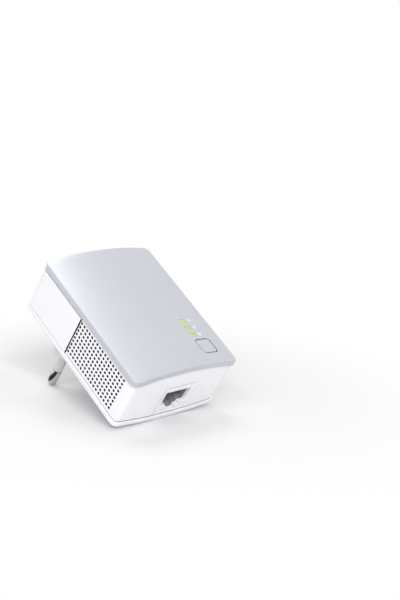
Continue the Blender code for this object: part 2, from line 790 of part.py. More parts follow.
# ==================================================================================== network port
def jack():
    """The socket behind the port: a block with the plug's cavity and the latch's notches."""
    half = JACK_WIDTH / 2
    y0 = CAVITY_Y[0] + FIT
    body = block(
        PORT_X - half, PORT_X + half, y0, y0 + JACK_DEPTH, JACK_FLOOR_Z, MAIN_BOARD_Z - FIT
    )
    cut(body, port_prism(-STEP, y0 + JACK_CAVITY))
    piece(body, "network_jack", "jack_grey", smooth=False)


def jack_contacts():
    """Eight gold springs that slope down from the cavity's top towards its end."""
    top = PORT_TOP_Z - FIT
    front = CAVITY_Y[0] + 2.4 * MM
    bend = front + 1.4 * MM
    end = CAVITY_Y[0] + JACK_CAVITY - 1.0 * MM
    low = PORT_TOP_Z - CONTACT_DROP
    profile = [
        (front, top),
        (front, top - CONTACT_GAUGE),
        (bend, top - CONTACT_GAUGE),
        (end, low - CONTACT_GAUGE),
        (end, low),
        (bend + CONTACT_GAUGE, top),
    ]
    for i in range(CONTACTS):
        x = PORT_X + (i - (CONTACTS - 1) / 2) * CONTACT_PITCH
        wire = extruded_x(profile, x - CONTACT_WIDTH / 2, x + CONTACT_WIDTH / 2)
        piece(wire, f"jack_contact_{i + 1}", "gold", smooth=False)


# =============================================================================== button and lights
def button_top(x, depth=0.0):
    """The button's top follows the face's arch."""
    return face_z(x, depth)


def pair_button():
    """A cap flush with the face, a flange that keeps it in, and a stem down to the switch."""
    flange_top = face_z(BUTTON_X + BUTTON_WIDTH / 2 + BUTTON_FLANGE, COVER_WALL + FIT)
    cap = arched_slab(lambda x: flange_top - FLANGE_WALL, button_top, HALF, 0, LENGTH)
    keep_inside(cap, prism(button_outline(), 0, 2 * EDGE_DEPTH))
    join(
        cap,
        prism(button_outline(BUTTON_FLANGE), flange_top - FLANGE_WALL, flange_top),
        prism(circle(BUTTON_X, BUTTON_Y, STEM_RADIUS), plunger_top() + FIT, flange_top - FIT),
    )
    piece(cap, "pair_button", "silver_paint")


def plunger_top():
    return MAIN_TOP_Z + FIT + SWITCH_HEIGHT + PLUNGER_STAND


def press_switch():
    """The switch under the button, and the plunger that its foot keeps in."""
    low = MAIN_TOP_Z + FIT
    high = low + SWITCH_HEIGHT
    half = SWITCH_SIZE / 2
    body = block(BUTTON_X - half, BUTTON_X + half, BUTTON_Y - half, BUTTON_Y + half, low, high)
    foot_radius = PLUNGER_RADIUS + PLUNGER_FOOT
    foot_top = high - SWITCH_LID - FIT
    well_floor = foot_top - PLUNGER_FOOT - PRESS_TRAVEL - FIT
    well = prism(circle(BUTTON_X, BUTTON_Y, foot_radius + FIT), well_floor, high - SWITCH_LID)
    mouth = prism(circle(BUTTON_X, BUTTON_Y, PLUNGER_RADIUS + FIT), well_floor, high + SWITCH_LID)
    cut(body, join(well, mouth))
    piece(body, "press_switch", "black_plastic", smooth=False)
    profile = [
        (0, foot_top - PLUNGER_FOOT),
        (foot_radius, foot_top - PLUNGER_FOOT),
        (foot_radius, foot_top),
        (PLUNGER_RADIUS, foot_top),
        (PLUNGER_RADIUS, plunger_top()),
        (0, plunger_top()),
    ]
    piece(turned(profile, BUTTON_X, BUTTON_Y), "switch_plunger", "steel")


def lights():
    """Three chips on the board, under one clear guide with a prong in each window of the face."""
    chip_top = MAIN_TOP_Z + FIT + 0.8 * MM
    outer = LIGHT_X + LIGHT_WIDTH / 2 + FIT
    plate_top = face_z(outer, COVER_WALL + FIT)
    centres = light_centres()
    margin = 2 * FIT
    guide = block(
        LIGHT_X - LIGHT_WIDTH / 2 - margin,
        LIGHT_X + LIGHT_WIDTH / 2 + FIT,
        centres[0][1] - LIGHT_HEIGHT / 2 - FIT,
        centres[-1][1] + LIGHT_HEIGHT / 2 + margin,
        plate_top - GUIDE_PLATE,
        plate_top,
    )
    for i, (cx, cy) in enumerate(centres):
        prong = arched_slab(lambda x: chip_top + FIT, face_z, HALF, 0, LENGTH)
        join(guide, keep_inside(prong, prism(light_outline(cx, cy), 0, 2 * EDGE_DEPTH)))
        chip = block(
            cx - 0.8 * MM, cx + 0.8 * MM, cy - 0.5 * MM, cy + 0.5 * MM, MAIN_TOP_Z + FIT, chip_top
        )
        piece(chip, f"light_chip_{i + 1}", "green_light", smooth=False)
    piece(guide, "light_guide", "green_light")


# ======================================================================================== assembly
def lean_angle():
    """The tilt that brings the heel, at the port end's lower edge, and both pin tips to one level.

    The heel is a sharp edge and a tip is a ball, so the table is the line from the heel that
    touches the ball's circle.
    """
    ball_y, ball_z = PLUG_Y, PLUG_END_Z - PIN_REACH + PIN_RADIUS
    heel_z = back_z(0)
    across, down = ball_y, heel_z - ball_z
    return math.atan2(down, across) + math.asin(PIN_RADIUS / math.hypot(across, down))


def stand_on_table():
    """Parents every piece to one empty that leans the adapter and sets it down at the origin."""
    tilt = Matrix.Rotation(lean_angle(), 4, "X")
    bpy.context.view_layer.update()
    points = [tilt @ obj.matrix_world @ v.co for obj in PIECES for v in obj.data.vertices]
    low = Vector([min(p[k] for p in points) for k in range(3)])
    high = Vector([max(p[k] for p in points) for k in range(3)])
    lean = bpy.data.objects.new("lean", None)
    bpy.context.scene.collection.objects.link(lean)
    lean.rotation_euler = (lean_angle(), 0, 0)
    lean.location = (-(low.x + high.x) / 2, -(low.y + high.y) / 2, -low.z)
    for obj in PIECES:
        obj.parent = lean


def main():
    for obj in list(bpy.data.objects):
        bpy.data.objects.remove(obj)
    FINISHES.update(make_finishes())
    PIECES.clear()
    front_cover()
    housing()
    vent_grilles()
    back_cover()
    plug_pins()
    pin_carrier()
    pin_contacts()
    boards()
    power_parts()
    main_board_parts()
    jack()
    jack_contacts()
    pair_button()
    press_switch()
    lights()
    stand_on_table()


main()
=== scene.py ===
# %% [markdown]
# # A plug-in powerline adapter
#
# The adapter is a small plastic case that hangs in a wall socket. Here it stands on a table, leaning
# back on its two plug pins, and shows an arched silver face, a perforated side and a network socket.
# The imported model already fixes where every piece is and how big it is. This lesson loads that model
# and gives each piece that can be seen its fine shape and its finish.

# %% Load the imported model
import json
import math

import bmesh
import bpy
import numpy as np
from mathutils import Matrix, Vector
from mathutils.geometry import delaunay_2d_cdt


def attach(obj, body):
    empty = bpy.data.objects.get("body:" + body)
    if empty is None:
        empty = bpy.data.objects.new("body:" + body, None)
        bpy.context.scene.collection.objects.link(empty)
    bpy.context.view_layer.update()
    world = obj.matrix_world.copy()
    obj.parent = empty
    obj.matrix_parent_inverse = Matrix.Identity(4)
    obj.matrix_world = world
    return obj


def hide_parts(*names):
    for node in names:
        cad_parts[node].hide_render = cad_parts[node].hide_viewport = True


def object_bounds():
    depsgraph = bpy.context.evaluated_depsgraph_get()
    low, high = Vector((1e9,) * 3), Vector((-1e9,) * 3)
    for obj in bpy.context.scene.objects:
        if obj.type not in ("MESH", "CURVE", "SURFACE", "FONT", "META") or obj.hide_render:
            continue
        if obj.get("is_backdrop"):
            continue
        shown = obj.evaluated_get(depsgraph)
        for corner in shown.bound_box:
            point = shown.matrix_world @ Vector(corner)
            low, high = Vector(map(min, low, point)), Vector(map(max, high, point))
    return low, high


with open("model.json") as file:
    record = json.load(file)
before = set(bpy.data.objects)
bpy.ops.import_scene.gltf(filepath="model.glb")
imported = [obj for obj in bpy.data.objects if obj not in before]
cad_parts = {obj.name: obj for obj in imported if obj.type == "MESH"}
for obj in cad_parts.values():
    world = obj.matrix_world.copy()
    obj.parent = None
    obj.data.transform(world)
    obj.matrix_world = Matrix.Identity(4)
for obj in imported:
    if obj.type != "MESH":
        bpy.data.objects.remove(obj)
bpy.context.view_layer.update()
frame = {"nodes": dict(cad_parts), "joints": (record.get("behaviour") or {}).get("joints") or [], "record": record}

# %% [markdown]
# ## The adapter's own frame
#
# The case leans, so its long walls aren't level. It is far easier to draw each piece upright, in
# millimetres: x across the width, y from the port end to the top end, z from back to face. One turn
# about X and one shift then carry the drawing to its place. The turn comes from the direction in
# which the button is pressed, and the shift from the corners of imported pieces.

# %% Find the lean and the origin
press = Vector(frame["joints"][0]["axis"])
lean = math.atan2(press.y, -press.z)
TURN = np.array(Matrix.Rotation(lean, 3, "X"))


def upright(node):
    """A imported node's points in mm, turned back by the lean: rows of R transposed times p."""
    mesh = frame["nodes"][node].data
    points = np.empty(len(mesh.vertices) * 3, np.float32)
    mesh.vertices.foreach_get("co", points)
    return points.reshape(-1, 3).astype(float) * 1000 @ TURN


plug_end = 13.7  # how far the plug's end stands behind the back's side edges
ORIGIN = np.array([0.0, upright("front_cover")[:, 1].min(), upright("back_cover")[:, 2].min() + plug_end])


def placed(points):
    """Upright millimetres to the leaning frame in metres: (p + origin) times R."""
    return (np.asarray(points, float) + ORIGIN) @ TURN.T / 1000


print("lean", round(math.degrees(lean), 2), "degrees; origin", ORIGIN.round(3))

# %% [markdown]
# ## Sizes
#
# Only the fine shape is decided here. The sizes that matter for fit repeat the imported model's.

# %% The case's main sizes, in mm
WIDTH, LENGTH, DEPTH = 52.0, 65.0, 23.6
FACE_RISE, BACK_RISE = 2.8, 2.1
CORNER = 2.5
HALF = WIDTH / 2
FACE_BAND, BACK_BAND = 2.8, 2.2
STEP, STEP_Y = 0.6, 36.7
SEAM, LOW_SEAM = 0.2, 0.3  # what shows between the body and the front cover, and the back cover


def arch(x, rise):
    """Height at x of a circle's arc that is 0 at the side edges and rise in the middle."""
    radius = (HALF**2 + rise**2) / (2 * rise)
    return np.sqrt(radius**2 - np.asarray(x, float) ** 2) - (radius - rise)


def face_z(x):
    """Height of the face at x."""
    return DEPTH + arch(x, FACE_RISE)


def back_z(x):
    """Height of the back at x."""
    return -arch(x, BACK_RISE)


print("middle of face at z", float(face_z(0)), "middle of back at z", float(back_z(0)))

# %% [markdown]
# ## From numbers to meshes
#
# Every new piece is collected in a `Shape`: grids of points that become quads, and flat patterns that
# are cut like cardboard, with their holes, and then bent to their place. Points that meet are merged
# at the end, so the seams between grids close.

# %% A collector for points and faces
class Shape:
    """Gathers point arrays and the faces between them, then makes one mesh object of them."""

    def __init__(self):
        self.points, self.faces, self.count = [], [], 0

    def add(self, points, faces):
        points = np.asarray(points, float).reshape(-1, 3)
        self.points.append(points)
        self.faces.extend((np.asarray(faces) + self.count).tolist())
        self.count += len(points)
        return self

    def grid(self, rows):
        """Quads between neighbouring rows of points, each row closed from its end to its start."""
        rows = np.asarray(rows, float)
        m, n = rows.shape[:2]
        i, j = np.meshgrid(np.arange(m - 1), np.arange(n), indexing="ij")
        k = (j + 1) % n
        quads = np.stack([i * n + j, i * n + k, (i + 1) * n + k, (i + 1) * n + j], -1)
        return self.add(rows.reshape(-1, 3), quads.reshape(-1, 4))

    def to_object(self, name, sharp=32, merge=0.004):
        mesh = bpy.data.meshes.new(name)
        mesh.from_pydata(placed(np.concatenate(self.points)).tolist(), [], self.faces)
        bm = bmesh.new()
        bm.from_mesh(mesh)
        bmesh.ops.remove_doubles(bm, verts=bm.verts, dist=merge / 1000)
        bmesh.ops.dissolve_degenerate(bm, edges=bm.edges, dist=1e-7)
        bmesh.ops.recalc_face_normals(bm, faces=bm.faces)
        bm.to_mesh(mesh)
        loose = sum(len(edge.link_faces) != 2 for edge in bm.edges)
        bm.free()
        obj = bpy.data.objects.new(name, mesh)
        bpy.context.scene.collection.objects.link(obj)
        mesh.shade_smooth()
        mesh.set_sharp_from_angle(angle=math.radians(sharp))
        print(f"{name}: {len(mesh.polygons)} faces, {loose} open edges")
        return obj


# %% Painted shade on chosen faces
def paint_shade(obj, finish, shaded):
    """Gives finish to the faces that the given test picks from their centres and normals, both upright,
    in mm. Here finish is always the painted shade, a near-black colour that stands in for shade.
    """
    mesh = obj.data
    centres = np.empty(len(mesh.polygons) * 3, np.float32)
    normals = np.empty(len(mesh.polygons) * 3, np.float32)
    mesh.polygons.foreach_get("center", centres)
    mesh.polygons.foreach_get("normal", normals)
    centres = centres.reshape(-1, 3).astype(float) * 1000 @ TURN - ORIGIN
    normals = normals.reshape(-1, 3).astype(float) @ TURN
    mesh.materials.append(finish)
    chosen = shaded(centres, normals)
    mesh.polygons.foreach_set("material_index", chosen.astype(np.int32))
    print(f"{obj.name}: {int(chosen.sum())} hidden faces")


def inset_of(points):
    """How far a point lies inside the case's plan, a rectangle with round corners: the corner radius
    less the distance from the rectangle of corner centres, which is below 0 within it."""
    past_x = np.abs(points[:, 0]) - (HALF - CORNER)
    past_y = np.abs(points[:, 1] - LENGTH / 2) - (LENGTH / 2 - CORNER)
    distance = np.hypot(np.maximum(past_x, 0), np.maximum(past_y, 0))
    return CORNER - distance - np.minimum(np.maximum(past_x, past_y), 0)


# %% Outlines
def round_rect(x0, x1, y0, y1, radius, corner=8, along=1, across=1):
    """A rectangle with round corners, counter-clockwise. Each corner is a quarter circle of corner
    steps, and the straight runs between them are cut into across (x) and along (y) steps."""
    turn = np.linspace(0, np.pi / 2, corner + 1)
    centres = [(x1 - radius, y0 + radius), (x1 - radius, y1 - radius)]
    centres += [(x0 + radius, y1 - radius), (x0 + radius, y0 + radius)]
    loops = []
    for quarter, (cx, cy) in enumerate(centres):
        angle = turn + (quarter - 1) * np.pi / 2
        loops.append(np.stack([cx + radius * np.cos(angle), cy + radius * np.sin(angle)], -1))
    points = []
    for quarter, arc in enumerate(loops):
        points.append(arc)
        steps = along if quarter % 2 == 0 else across
        share = np.linspace(0, 1, steps + 1)[1:-1, None]
        points.append(arc[-1] + share * (loops[(quarter + 1) % 4][0] - arc[-1]))
    return np.concatenate(points)


def ring(cx, cy, radius, steps):
    """A regular polygon of points on a circle."""
    angle = np.arange(steps) * 2 * np.pi / steps
    return np.stack([cx + radius * np.cos(angle), cy + radius * np.sin(angle)], -1)


def refined(outline, longest):
    """The same closed outline with every edge cut into pieces no longer than longest."""
    ends = np.roll(outline, -1, 0)
    pieces = np.maximum(1, np.ceil(np.linalg.norm(ends - outline, axis=1) / longest)).astype(int)
    cut = [a + np.arange(n)[:, None] / n * (b - a) for a, b, n in zip(outline, ends, pieces)]
    return np.concatenate(cut)


# %% Flat patterns with holes
def inside(points, loop):
    """Which points lie within a closed loop: an odd number of its edges cross the ray to their right."""
    ends = np.roll(loop, -1, 0)
    x, y = points[:, None, 0], points[:, None, 1]
    (ax, ay), (bx, by) = loop.T, ends.T
    rising = (ay > y) != (by > y)
    with np.errstate(divide="ignore", invalid="ignore"):
        cross = ax + (y - ay) * (bx - ax) / (by - ay)
    return (rising & (x < cross)).sum(1) % 2 == 1


def pattern(outline, holes=(), inner=None, gap=0.3):
    """A flat triangulated sheet with holes. inner are wished-for points in between, of which those too
    near to an edge are left out. Returns the 2-D points and the triangles."""
    loops = [np.asarray(outline, float)] + [np.asarray(hole, float) for hole in holes]
    edge_points = np.concatenate(loops)
    if inner is not None and len(inner):
        keep = inside(inner, loops[0])
        for loop in loops[1:]:
            keep &= ~inside(inner, loop)
        inner = inner[keep]
        near = np.array([np.hypot(*(edge_points - p).T).min() for p in inner]) if len(inner) else inner
        inner = inner[near > gap]
    else:
        inner = np.empty((0, 2))
    starts = np.cumsum([0] + [len(loop) for loop in loops])
    edges = [(s + i, s + (i + 1) % len(loop)) for s, loop in zip(starts, loops) for i in range(len(loop))]
    flat = np.concatenate([edge_points, inner])
    made = delaunay_2d_cdt([Vector(p) for p in flat], edges, [], 0, 1e-5)
    points = np.array([tuple(v) for v in made[0]])
    faces = np.array([f for f in made[2] if len(f) == 3])
    middle = points[faces].mean(1)
    keep = inside(middle, loops[0])
    for loop in loops[1:]:
        keep &= ~inside(middle, loop)
    return points, faces[keep]


def lattice(x0, x1, y0, y1, pitch_x, pitch_y=None):
    """Evenly spread points over a rectangle."""
    nx = max(2, int((x1 - x0) / pitch_x) + 1)
    ny = max(2, int((y1 - y0) / (pitch_y or pitch_x)) + 1)
    x, y = np.meshgrid(np.linspace(x0, x1, nx), np.linspace(y0, y1, ny), indexing="ij")
    return np.stack([x.ravel(), y.ravel()], -1)


def thick(shape, front, back, faces):
    """A sheet given a thickness: its faces at front, the same turned over at back, and a wall along
    every edge that only one face uses."""
    front, back, faces = np.asarray(front), np.asarray(back), np.asarray(faces)
    sides = np.concatenate([faces[:, [0, 1]], faces[:, [1, 2]], faces[:, [2, 0]]])
    key = np.sort(sides, 1)
    _, where, times = np.unique(key, axis=0, return_index=True, return_counts=True)
    rim = sides[where[times == 1]]
    first, n = shape.count, len(front)
    shape.add(np.concatenate([front, back]), faces)
    shape.faces.extend((faces[:, ::-1] + n + first).tolist())
    walls = np.stack([rim[:, 1], rim[:, 0], rim[:, 0] + n, rim[:, 1] + n], -1)
    shape.faces.extend((walls + first).tolist())
    return shape


# %% [markdown]
# ## Shader maths
#
# A material's pattern is worked out by nodes. Writing those nodes one by one hides the sum that they
# make, so a small class wraps a socket, and `+` and `*` on it add the Math nodes.

# %% Expressions on sockets
class Value:
    """A number that a node gives out. Sums with it become Math nodes."""

    def __init__(self, tree, socket):
        self.tree, self.socket = tree, socket

    def _math(self, operation, a, b):
        return Value(self.tree, node(self.tree, "ShaderNodeMath", {"operation": operation}, {0: a, 1: b}))

    def __add__(self, other):
        return self._math("ADD", self, other)

    def __mul__(self, other):
        return self._math("MULTIPLY", self, other)

    __radd__, __rmul__ = __add__, __mul__


def node(tree, kind, settings=None, inputs=None, output=0):
    """Adds a node: settings first, because they change its sockets, then values or links."""
    made = tree.nodes.new(kind)
    for name, value in (settings or {}).items():
        setattr(made, name, value)
    for name, value in (inputs or {}).items():
        if isinstance(value, Value):
            tree.links.new(value.socket, made.inputs[name])
        elif isinstance(value, bpy.types.NodeSocket):
            tree.links.new(value, made.inputs[name])
        else:
            made.inputs[name].default_value = value
    return made.outputs[output]


def material(name, **shader):
    """A Principled material, and its tree and shader for more nodes."""
    made = bpy.data.materials.new(name)
    made.use_nodes = True
    principled = made.node_tree.nodes["Principled BSDF"]
    for socket, value in shader.items():
        title = socket.replace("_", " ").title().replace("Ior", "IOR")
        principled.inputs[title].default_value = (*value, 1) if isinstance(value, tuple) else value
    print("finish", name)
    return made, made.node_tree, principled


def along_case(tree):
    """Object coordinates turned back by the lean, so that a pattern lines up with the case."""
    here = node(tree, "ShaderNodeTexCoord", output=3)
    turned = {"vector_type": "POINT"}
    return node(tree, "ShaderNodeMapping", turned, {0: here, "Rotation": (-lean, 0, 0)})


def noise(tree, scale, detail=3.0, stretch=None):
    """Smooth random values, about 0.5 on average; scale is in lumps per metre."""
    place = along_case(tree)
    if stretch:
        place = node(tree, "ShaderNodeMapping", None, {0: place, "Scale": stretch})
    sockets = {"Vector": place, "Scale": scale, "Detail": detail}
    return Value(tree, node(tree, "ShaderNodeTexNoise", None, sockets))


def mixed(tree, share, a, b):
    """A colour between a and b."""
    colours = {"data_type": "RGBA"}
    return node(tree, "ShaderNodeMix", colours, {0: share, 6: (*a, 1), 7: (*b, 1)}, output=2)


def wire(tree, principled, **links):
    """Links values or sockets to the shader's inputs."""
    for name, value in links.items():
        target = principled.inputs[name.replace("_", " ")]
        tree.links.new(value.socket if isinstance(value, Value) else value, target)


def bumped(tree, principled, height, distance, strength=1.0):
    """Lets a height pattern tilt the surface; distance is its relief in metres."""
    sockets = {"Height": height, "Distance": distance, "Strength": strength}
    tree.links.new(node(tree, "ShaderNodeBump", None, sockets), principled.inputs["Normal"])


# %% [markdown]
# ## The finishes
#
# The face is plastic sprayed with a fine silver lacquer: flakes too small to see singly, under a
# satin skin. A metal of middling roughness with a slight grain in its colour and its gloss gives that
# without a mirror's hard edges.

# %% Silver lacquer
silver, tree, shader = material(
    "silver_lacquer", base_color=(0.55, 0.56, 0.61), metallic=0.6, roughness=0.34,
    coat_weight=0.2, coat_roughness=0.2,
)
flakes = noise(tree, 9000, detail=2)
drift = noise(tree, 60, detail=2)
wire(tree, shader, Base_Color=mixed(tree, flakes * 0.6 + drift * 0.4, (0.5, 0.51, 0.56), (0.6, 0.61, 0.66)))
wire(tree, shader, Roughness=flakes * 0.1 + 0.29)
bumped(tree, shader, flakes, 0.00001, 0.05)

# %% [markdown]
# The body is moulded in white plastic that was polished in its mould. It is nearly even, so what
# tells the eye that it is plastic is a soft clear gloss and the faintest waviness, as on an orange.

# %% White moulded plastic
white, tree, shader = material(
    "white_moulded", base_color=(0.84, 0.84, 0.87), roughness=0.25, ior=1.49, coat_weight=0.1,
    coat_roughness=0.1,
)
peel = noise(tree, 900, detail=2)
cloud = noise(tree, 45, detail=2)
wire(tree, shader, Base_Color=mixed(tree, cloud, (0.82, 0.82, 0.85), (0.855, 0.855, 0.885)))
wire(tree, shader, Roughness=cloud * 0.08 + 0.22)
bumped(tree, shader, peel, 0.00004, 0.1)

# %% Matt grey plastic of the block behind the port
jack_plastic, tree, shader = material("jack_plastic", base_color=(0.25, 0.25, 0.27), roughness=0.45)
grain = noise(tree, 2500)
wire(tree, shader, Base_Color=mixed(tree, grain, (0.26, 0.26, 0.28), (0.33, 0.33, 0.35)))
wire(tree, shader, Roughness=grain * 0.2 + 0.35)
bumped(tree, shader, grain, 0.00003, 0.2)

# %% [markdown]
# Hole walls, the seams' inner faces and the insides of the shells see almost no light on the real
# thing. They take painted shade: a near-black colour in place of their own, which keeps thin seams
# and small holes dark under soft lamps.

# %% Painted shade, also the black of the table's dark cards
shade, tree, shader = material(
    "painted_shade_and_card_black", base_color=(0.01, 0.01, 0.011), roughness=0.6, specular_ior_level=0.1,
)
grain = noise(tree, 1500)
wire(tree, shader, Base_Color=mixed(tree, grain, (0.006, 0.006, 0.007), (0.016, 0.016, 0.018)))
wire(tree, shader, Roughness=grain * 0.2 + 0.5)

# %% [markdown]
# The pins are brass under bright nickel, drawn through a die and so marked with hair-fine lines
# along their length. Their root is sleeved in a pale insulating plastic.

# %% Nickel, sleeve plastic and gold
nickel, tree, shader = material("nickel_plate", base_color=(0.6, 0.59, 0.58), metallic=1.0, roughness=0.12)
drawn = noise(tree, 2600, detail=2, stretch=(1, 1, 0.04))
wire(tree, shader, Roughness=drawn * 0.1 + 0.06)
wire(tree, shader, Base_Color=mixed(tree, drawn, (0.54, 0.53, 0.52), (0.67, 0.66, 0.65)))
bumped(tree, shader, drawn, 0.00001, 0.2)

sleeve, tree, shader = material(
    "sleeve_plastic", base_color=(0.7, 0.7, 0.72), roughness=0.4,
)
grain = noise(tree, 1800)
wire(tree, shader, Base_Color=mixed(tree, grain, (0.66, 0.66, 0.69), (0.74, 0.74, 0.76)))
wire(tree, shader, Roughness=grain * 0.15 + 0.33)

gold, tree, shader = material("gold_spring", base_color=(0.83, 0.62, 0.27), metallic=1.0, roughness=0.22)
grain = noise(tree, 2600, detail=2)
wire(tree, shader, Roughness=grain * 0.15 + 0.15)
wire(tree, shader, Base_Color=mixed(tree, grain, (0.78, 0.57, 0.24), (0.88, 0.68, 0.32)))

# %% [markdown]
# The three lights are clear plastic rods that carry the glow of tiny lamps on the board up to the
# face. A little emission, drifting from spot to spot, makes them read as lit without flooding the
# face. The signs beside them are a white ink with a faint speckle.

# %% Lit lime plastic and white ink
lime, tree, shader = material(
    "lime_light", base_color=(0.43, 0.53, 0.12), roughness=0.3, emission_strength=0.06
)
cloud = noise(tree, 1200, detail=1)
wire(tree, shader, Base_Color=mixed(tree, cloud, (0.38, 0.48, 0.09), (0.48, 0.58, 0.15)))
wire(tree, shader, Emission_Color=mixed(tree, cloud, (0.4, 0.75, 0.06), (0.55, 0.85, 0.12)))
wire(tree, shader, Roughness=cloud * 0.1 + 0.25)

print_white, tree, shader = material("white_print", base_color=(0.93, 0.93, 0.95), roughness=0.5)
speck = noise(tree, 6000, detail=1)
wire(tree, shader, Base_Color=mixed(tree, speck, (0.9, 0.9, 0.92), (0.96, 0.96, 0.97)))

# %% [markdown]
# What is inside shows only as glints behind the vents and deep in the port, yet each piece still gets
# the finish that such a part has, with a fine mottle so that none is a dead flat colour.

# %% Inner finishes
def mottled(name, dark, light, roughness, metallic=0.0):
    """A plain finish whose colour and gloss drift a little between two values."""
    made, tree, shader = material(name, metallic=metallic, roughness=roughness)
    grain = noise(tree, 1500)
    wire(tree, shader, Base_Color=mixed(tree, grain, dark, light))
    wire(tree, shader, Roughness=grain * 0.16 + (roughness - 0.08))
    bumped(tree, shader, grain, 0.00003, 0.25)
    return made


inner_finishes = {
    "board_green": mottled("solder_mask", (0.02, 0.11, 0.05), (0.04, 0.2, 0.09), 0.4),
    "black_plastic": mottled("moulded_black", (0.02, 0.02, 0.022), (0.045, 0.045, 0.05), 0.5),
    "ferrite": mottled("ferrite_core", (0.04, 0.04, 0.043), (0.09, 0.09, 0.095), 0.7),
    "yellow_tape": mottled("winding_tape", (0.62, 0.46, 0.06), (0.78, 0.6, 0.1), 0.4),
    "copper": mottled("bare_copper", (0.62, 0.28, 0.15), (0.78, 0.4, 0.22), 0.32, 1.0),
    "steel": mottled("bright_steel", (0.5, 0.5, 0.5), (0.66, 0.66, 0.66), 0.32, 1.0),
    "capacitor_blue": mottled("capacitor_sleeve", (0.03, 0.08, 0.3), (0.06, 0.14, 0.42), 0.4),
    "green_light": lime,
    "gold": gold,
    "jack_grey": jack_plastic,
    "nickel": nickel,
    "sleeve_grey": sleeve,
    "silver_paint": silver,
    "white_gloss": white,
}
for part in frame["record"]["subparts"]:
    slots = frame["nodes"][part["node"]].data.materials
    slots.clear()
    slots.append(inner_finishes[part["material_slot"]])


# %% [markdown]
# ## The front cover
#
# It is one moulding: an arched plate with a rounded edge, a skirt that stands on the body, and four
# holes. The plate is a flat pattern, holes and all, lifted onto the arch. The edge and the skirt are
# a profile carried round the outline. Each ring of the profile is the outline drawn in by some inset
# and lowered by some drop below the arch.

# %% Rings of a profile round the case's outline
def case_outline(inset):
    """The case's plan, drawn in by inset, always with the same number of points."""
    radius = max(CORNER - inset, 0.2)
    return round_rect(-HALF + inset, HALF - inset, inset, LENGTH - inset, radius, 8, 40, 36)


def cover_rings(profile, height, sign):
    """One row of points for each (inset, drop) of the profile. z is the arch above the outermost
    outline's x, less or plus the drop, so the skirt stays upright."""
    base = height(case_outline(0)[:, 0])
    rows = []
    for inset, drop in profile:
        flat = case_outline(inset)
        rows.append(np.column_stack([flat, base - sign * drop]))
    return np.array(rows)


def rounding(radius, steps=5):
    """(inset, drop) pairs of a quarter round, from the flat side to the wall."""
    angle = np.linspace(0, np.pi / 2, steps + 1)
    return [(radius * (1 - math.sin(a)), radius * (1 - math.cos(a))) for a in angle]


# %% The sizes of the cover's edge and its holes, in mm
EDGE_ROUND = 0.45
COVER_WALL = 1.6
BUTTON = (11.1, 18.6, 5.65, 12.35)  # the cap's x from and to, y from and to
BUTTON_CORNER = 1.3
BUTTON_GAP = 0.32
HOLE_RIM = 0.06  # how far a hole's rim is eased open
# Below the depth that follows and 0.3 mm in from the side, a face of the cover takes painted shade; the holes'
# walls are among them and stay in sight.
SKIRT_INSIDE = 0.2  # below this depth and 0.3 mm in from the side, a face is out of sight
LIGHTS = [(12.25, 15.1 + 3.8 * i) for i in range(3)]
LIGHT_W, LIGHT_H = 3.4, 1.6


def light_slot(cx, cy, margin=0.0):
    """A light's outline: a slot with round ends."""
    half_w, half_h = LIGHT_W / 2 + margin, LIGHT_H / 2 + margin
    return round_rect(cx - half_w, cx + half_w, cy - half_h, cy + half_h, half_h * 0.98, 8, 1, 2)


def button_outline(margin=0.0):
    """The button's outline, let out by margin."""
    x0, x1, y0, y1 = BUTTON
    radius = max(BUTTON_CORNER + margin, 0.2)
    return round_rect(x0 - margin, x1 + margin, y0 - margin, y1 + margin, radius, 8, 6, 6)


# %% Build the front cover
def fitted(flat, z, edge):
    """Heights z for the flat points, where points on the edge's rows take those rows' heights."""
    for x, y, level in edge:
        z[np.hypot(*(flat - (x, y)).T) < 1e-4] = level
    return np.column_stack([flat, z])


def arched_sheet(shape, edge, holes, height):
    """A flat pattern within edge lifted onto z = height(x), but joined to the edge's own heights."""
    grid = lattice(-HALF, HALF, 0, LENGTH, 1.3, 2.6)
    flat, faces = pattern(edge[:, :2], holes, grid, 0.5)
    return shape.add(fitted(flat, height(flat[:, 0]), edge), faces)


cover = Shape()
skirt = [(0, FACE_BAND - 0.15), (0.15, FACE_BAND), (COVER_WALL, FACE_BAND), (COVER_WALL, COVER_WALL)]
rows = cover_rings(rounding(EDGE_ROUND) + skirt, face_z, 1)
cover.grid(rows)
holes = [button_outline(BUTTON_GAP)] + [light_slot(x, y, 0.05) for x, y in LIGHTS]
rims = [button_outline(BUTTON_GAP + HOLE_RIM)] + [light_slot(x, y, 0.1) for x, y in LIGHTS]
arched_sheet(cover, rows[0], rims, face_z)
arched_sheet(cover, rows[-1], holes, lambda x: face_z(x) - COVER_WALL)
for hole, rim in zip(holes, rims):
    top, bottom = face_z(rim[:, 0]), face_z(hole[:, 0])
    eased = rim * 0.35 + hole * 0.65
    levels = [(rim, top), (eased, bottom - 0.04), (hole, bottom - 0.1), (hole, bottom - COVER_WALL)]
    cover.grid([np.column_stack([flat, z]) for flat, z in levels])
front_cover = cover.to_object("front_cover_skin")
front_cover.data.materials.append(silver)
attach(front_cover, "adapter")
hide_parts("front_cover")
# The cover's inner side and the walls of its holes take painted shade.
paint_shade(
    front_cover,
    shade,
    lambda c, n: (c[:, 2] < face_z(c[:, 0]) - SKIRT_INSIDE) & (inset_of(c) > 0.3),
)
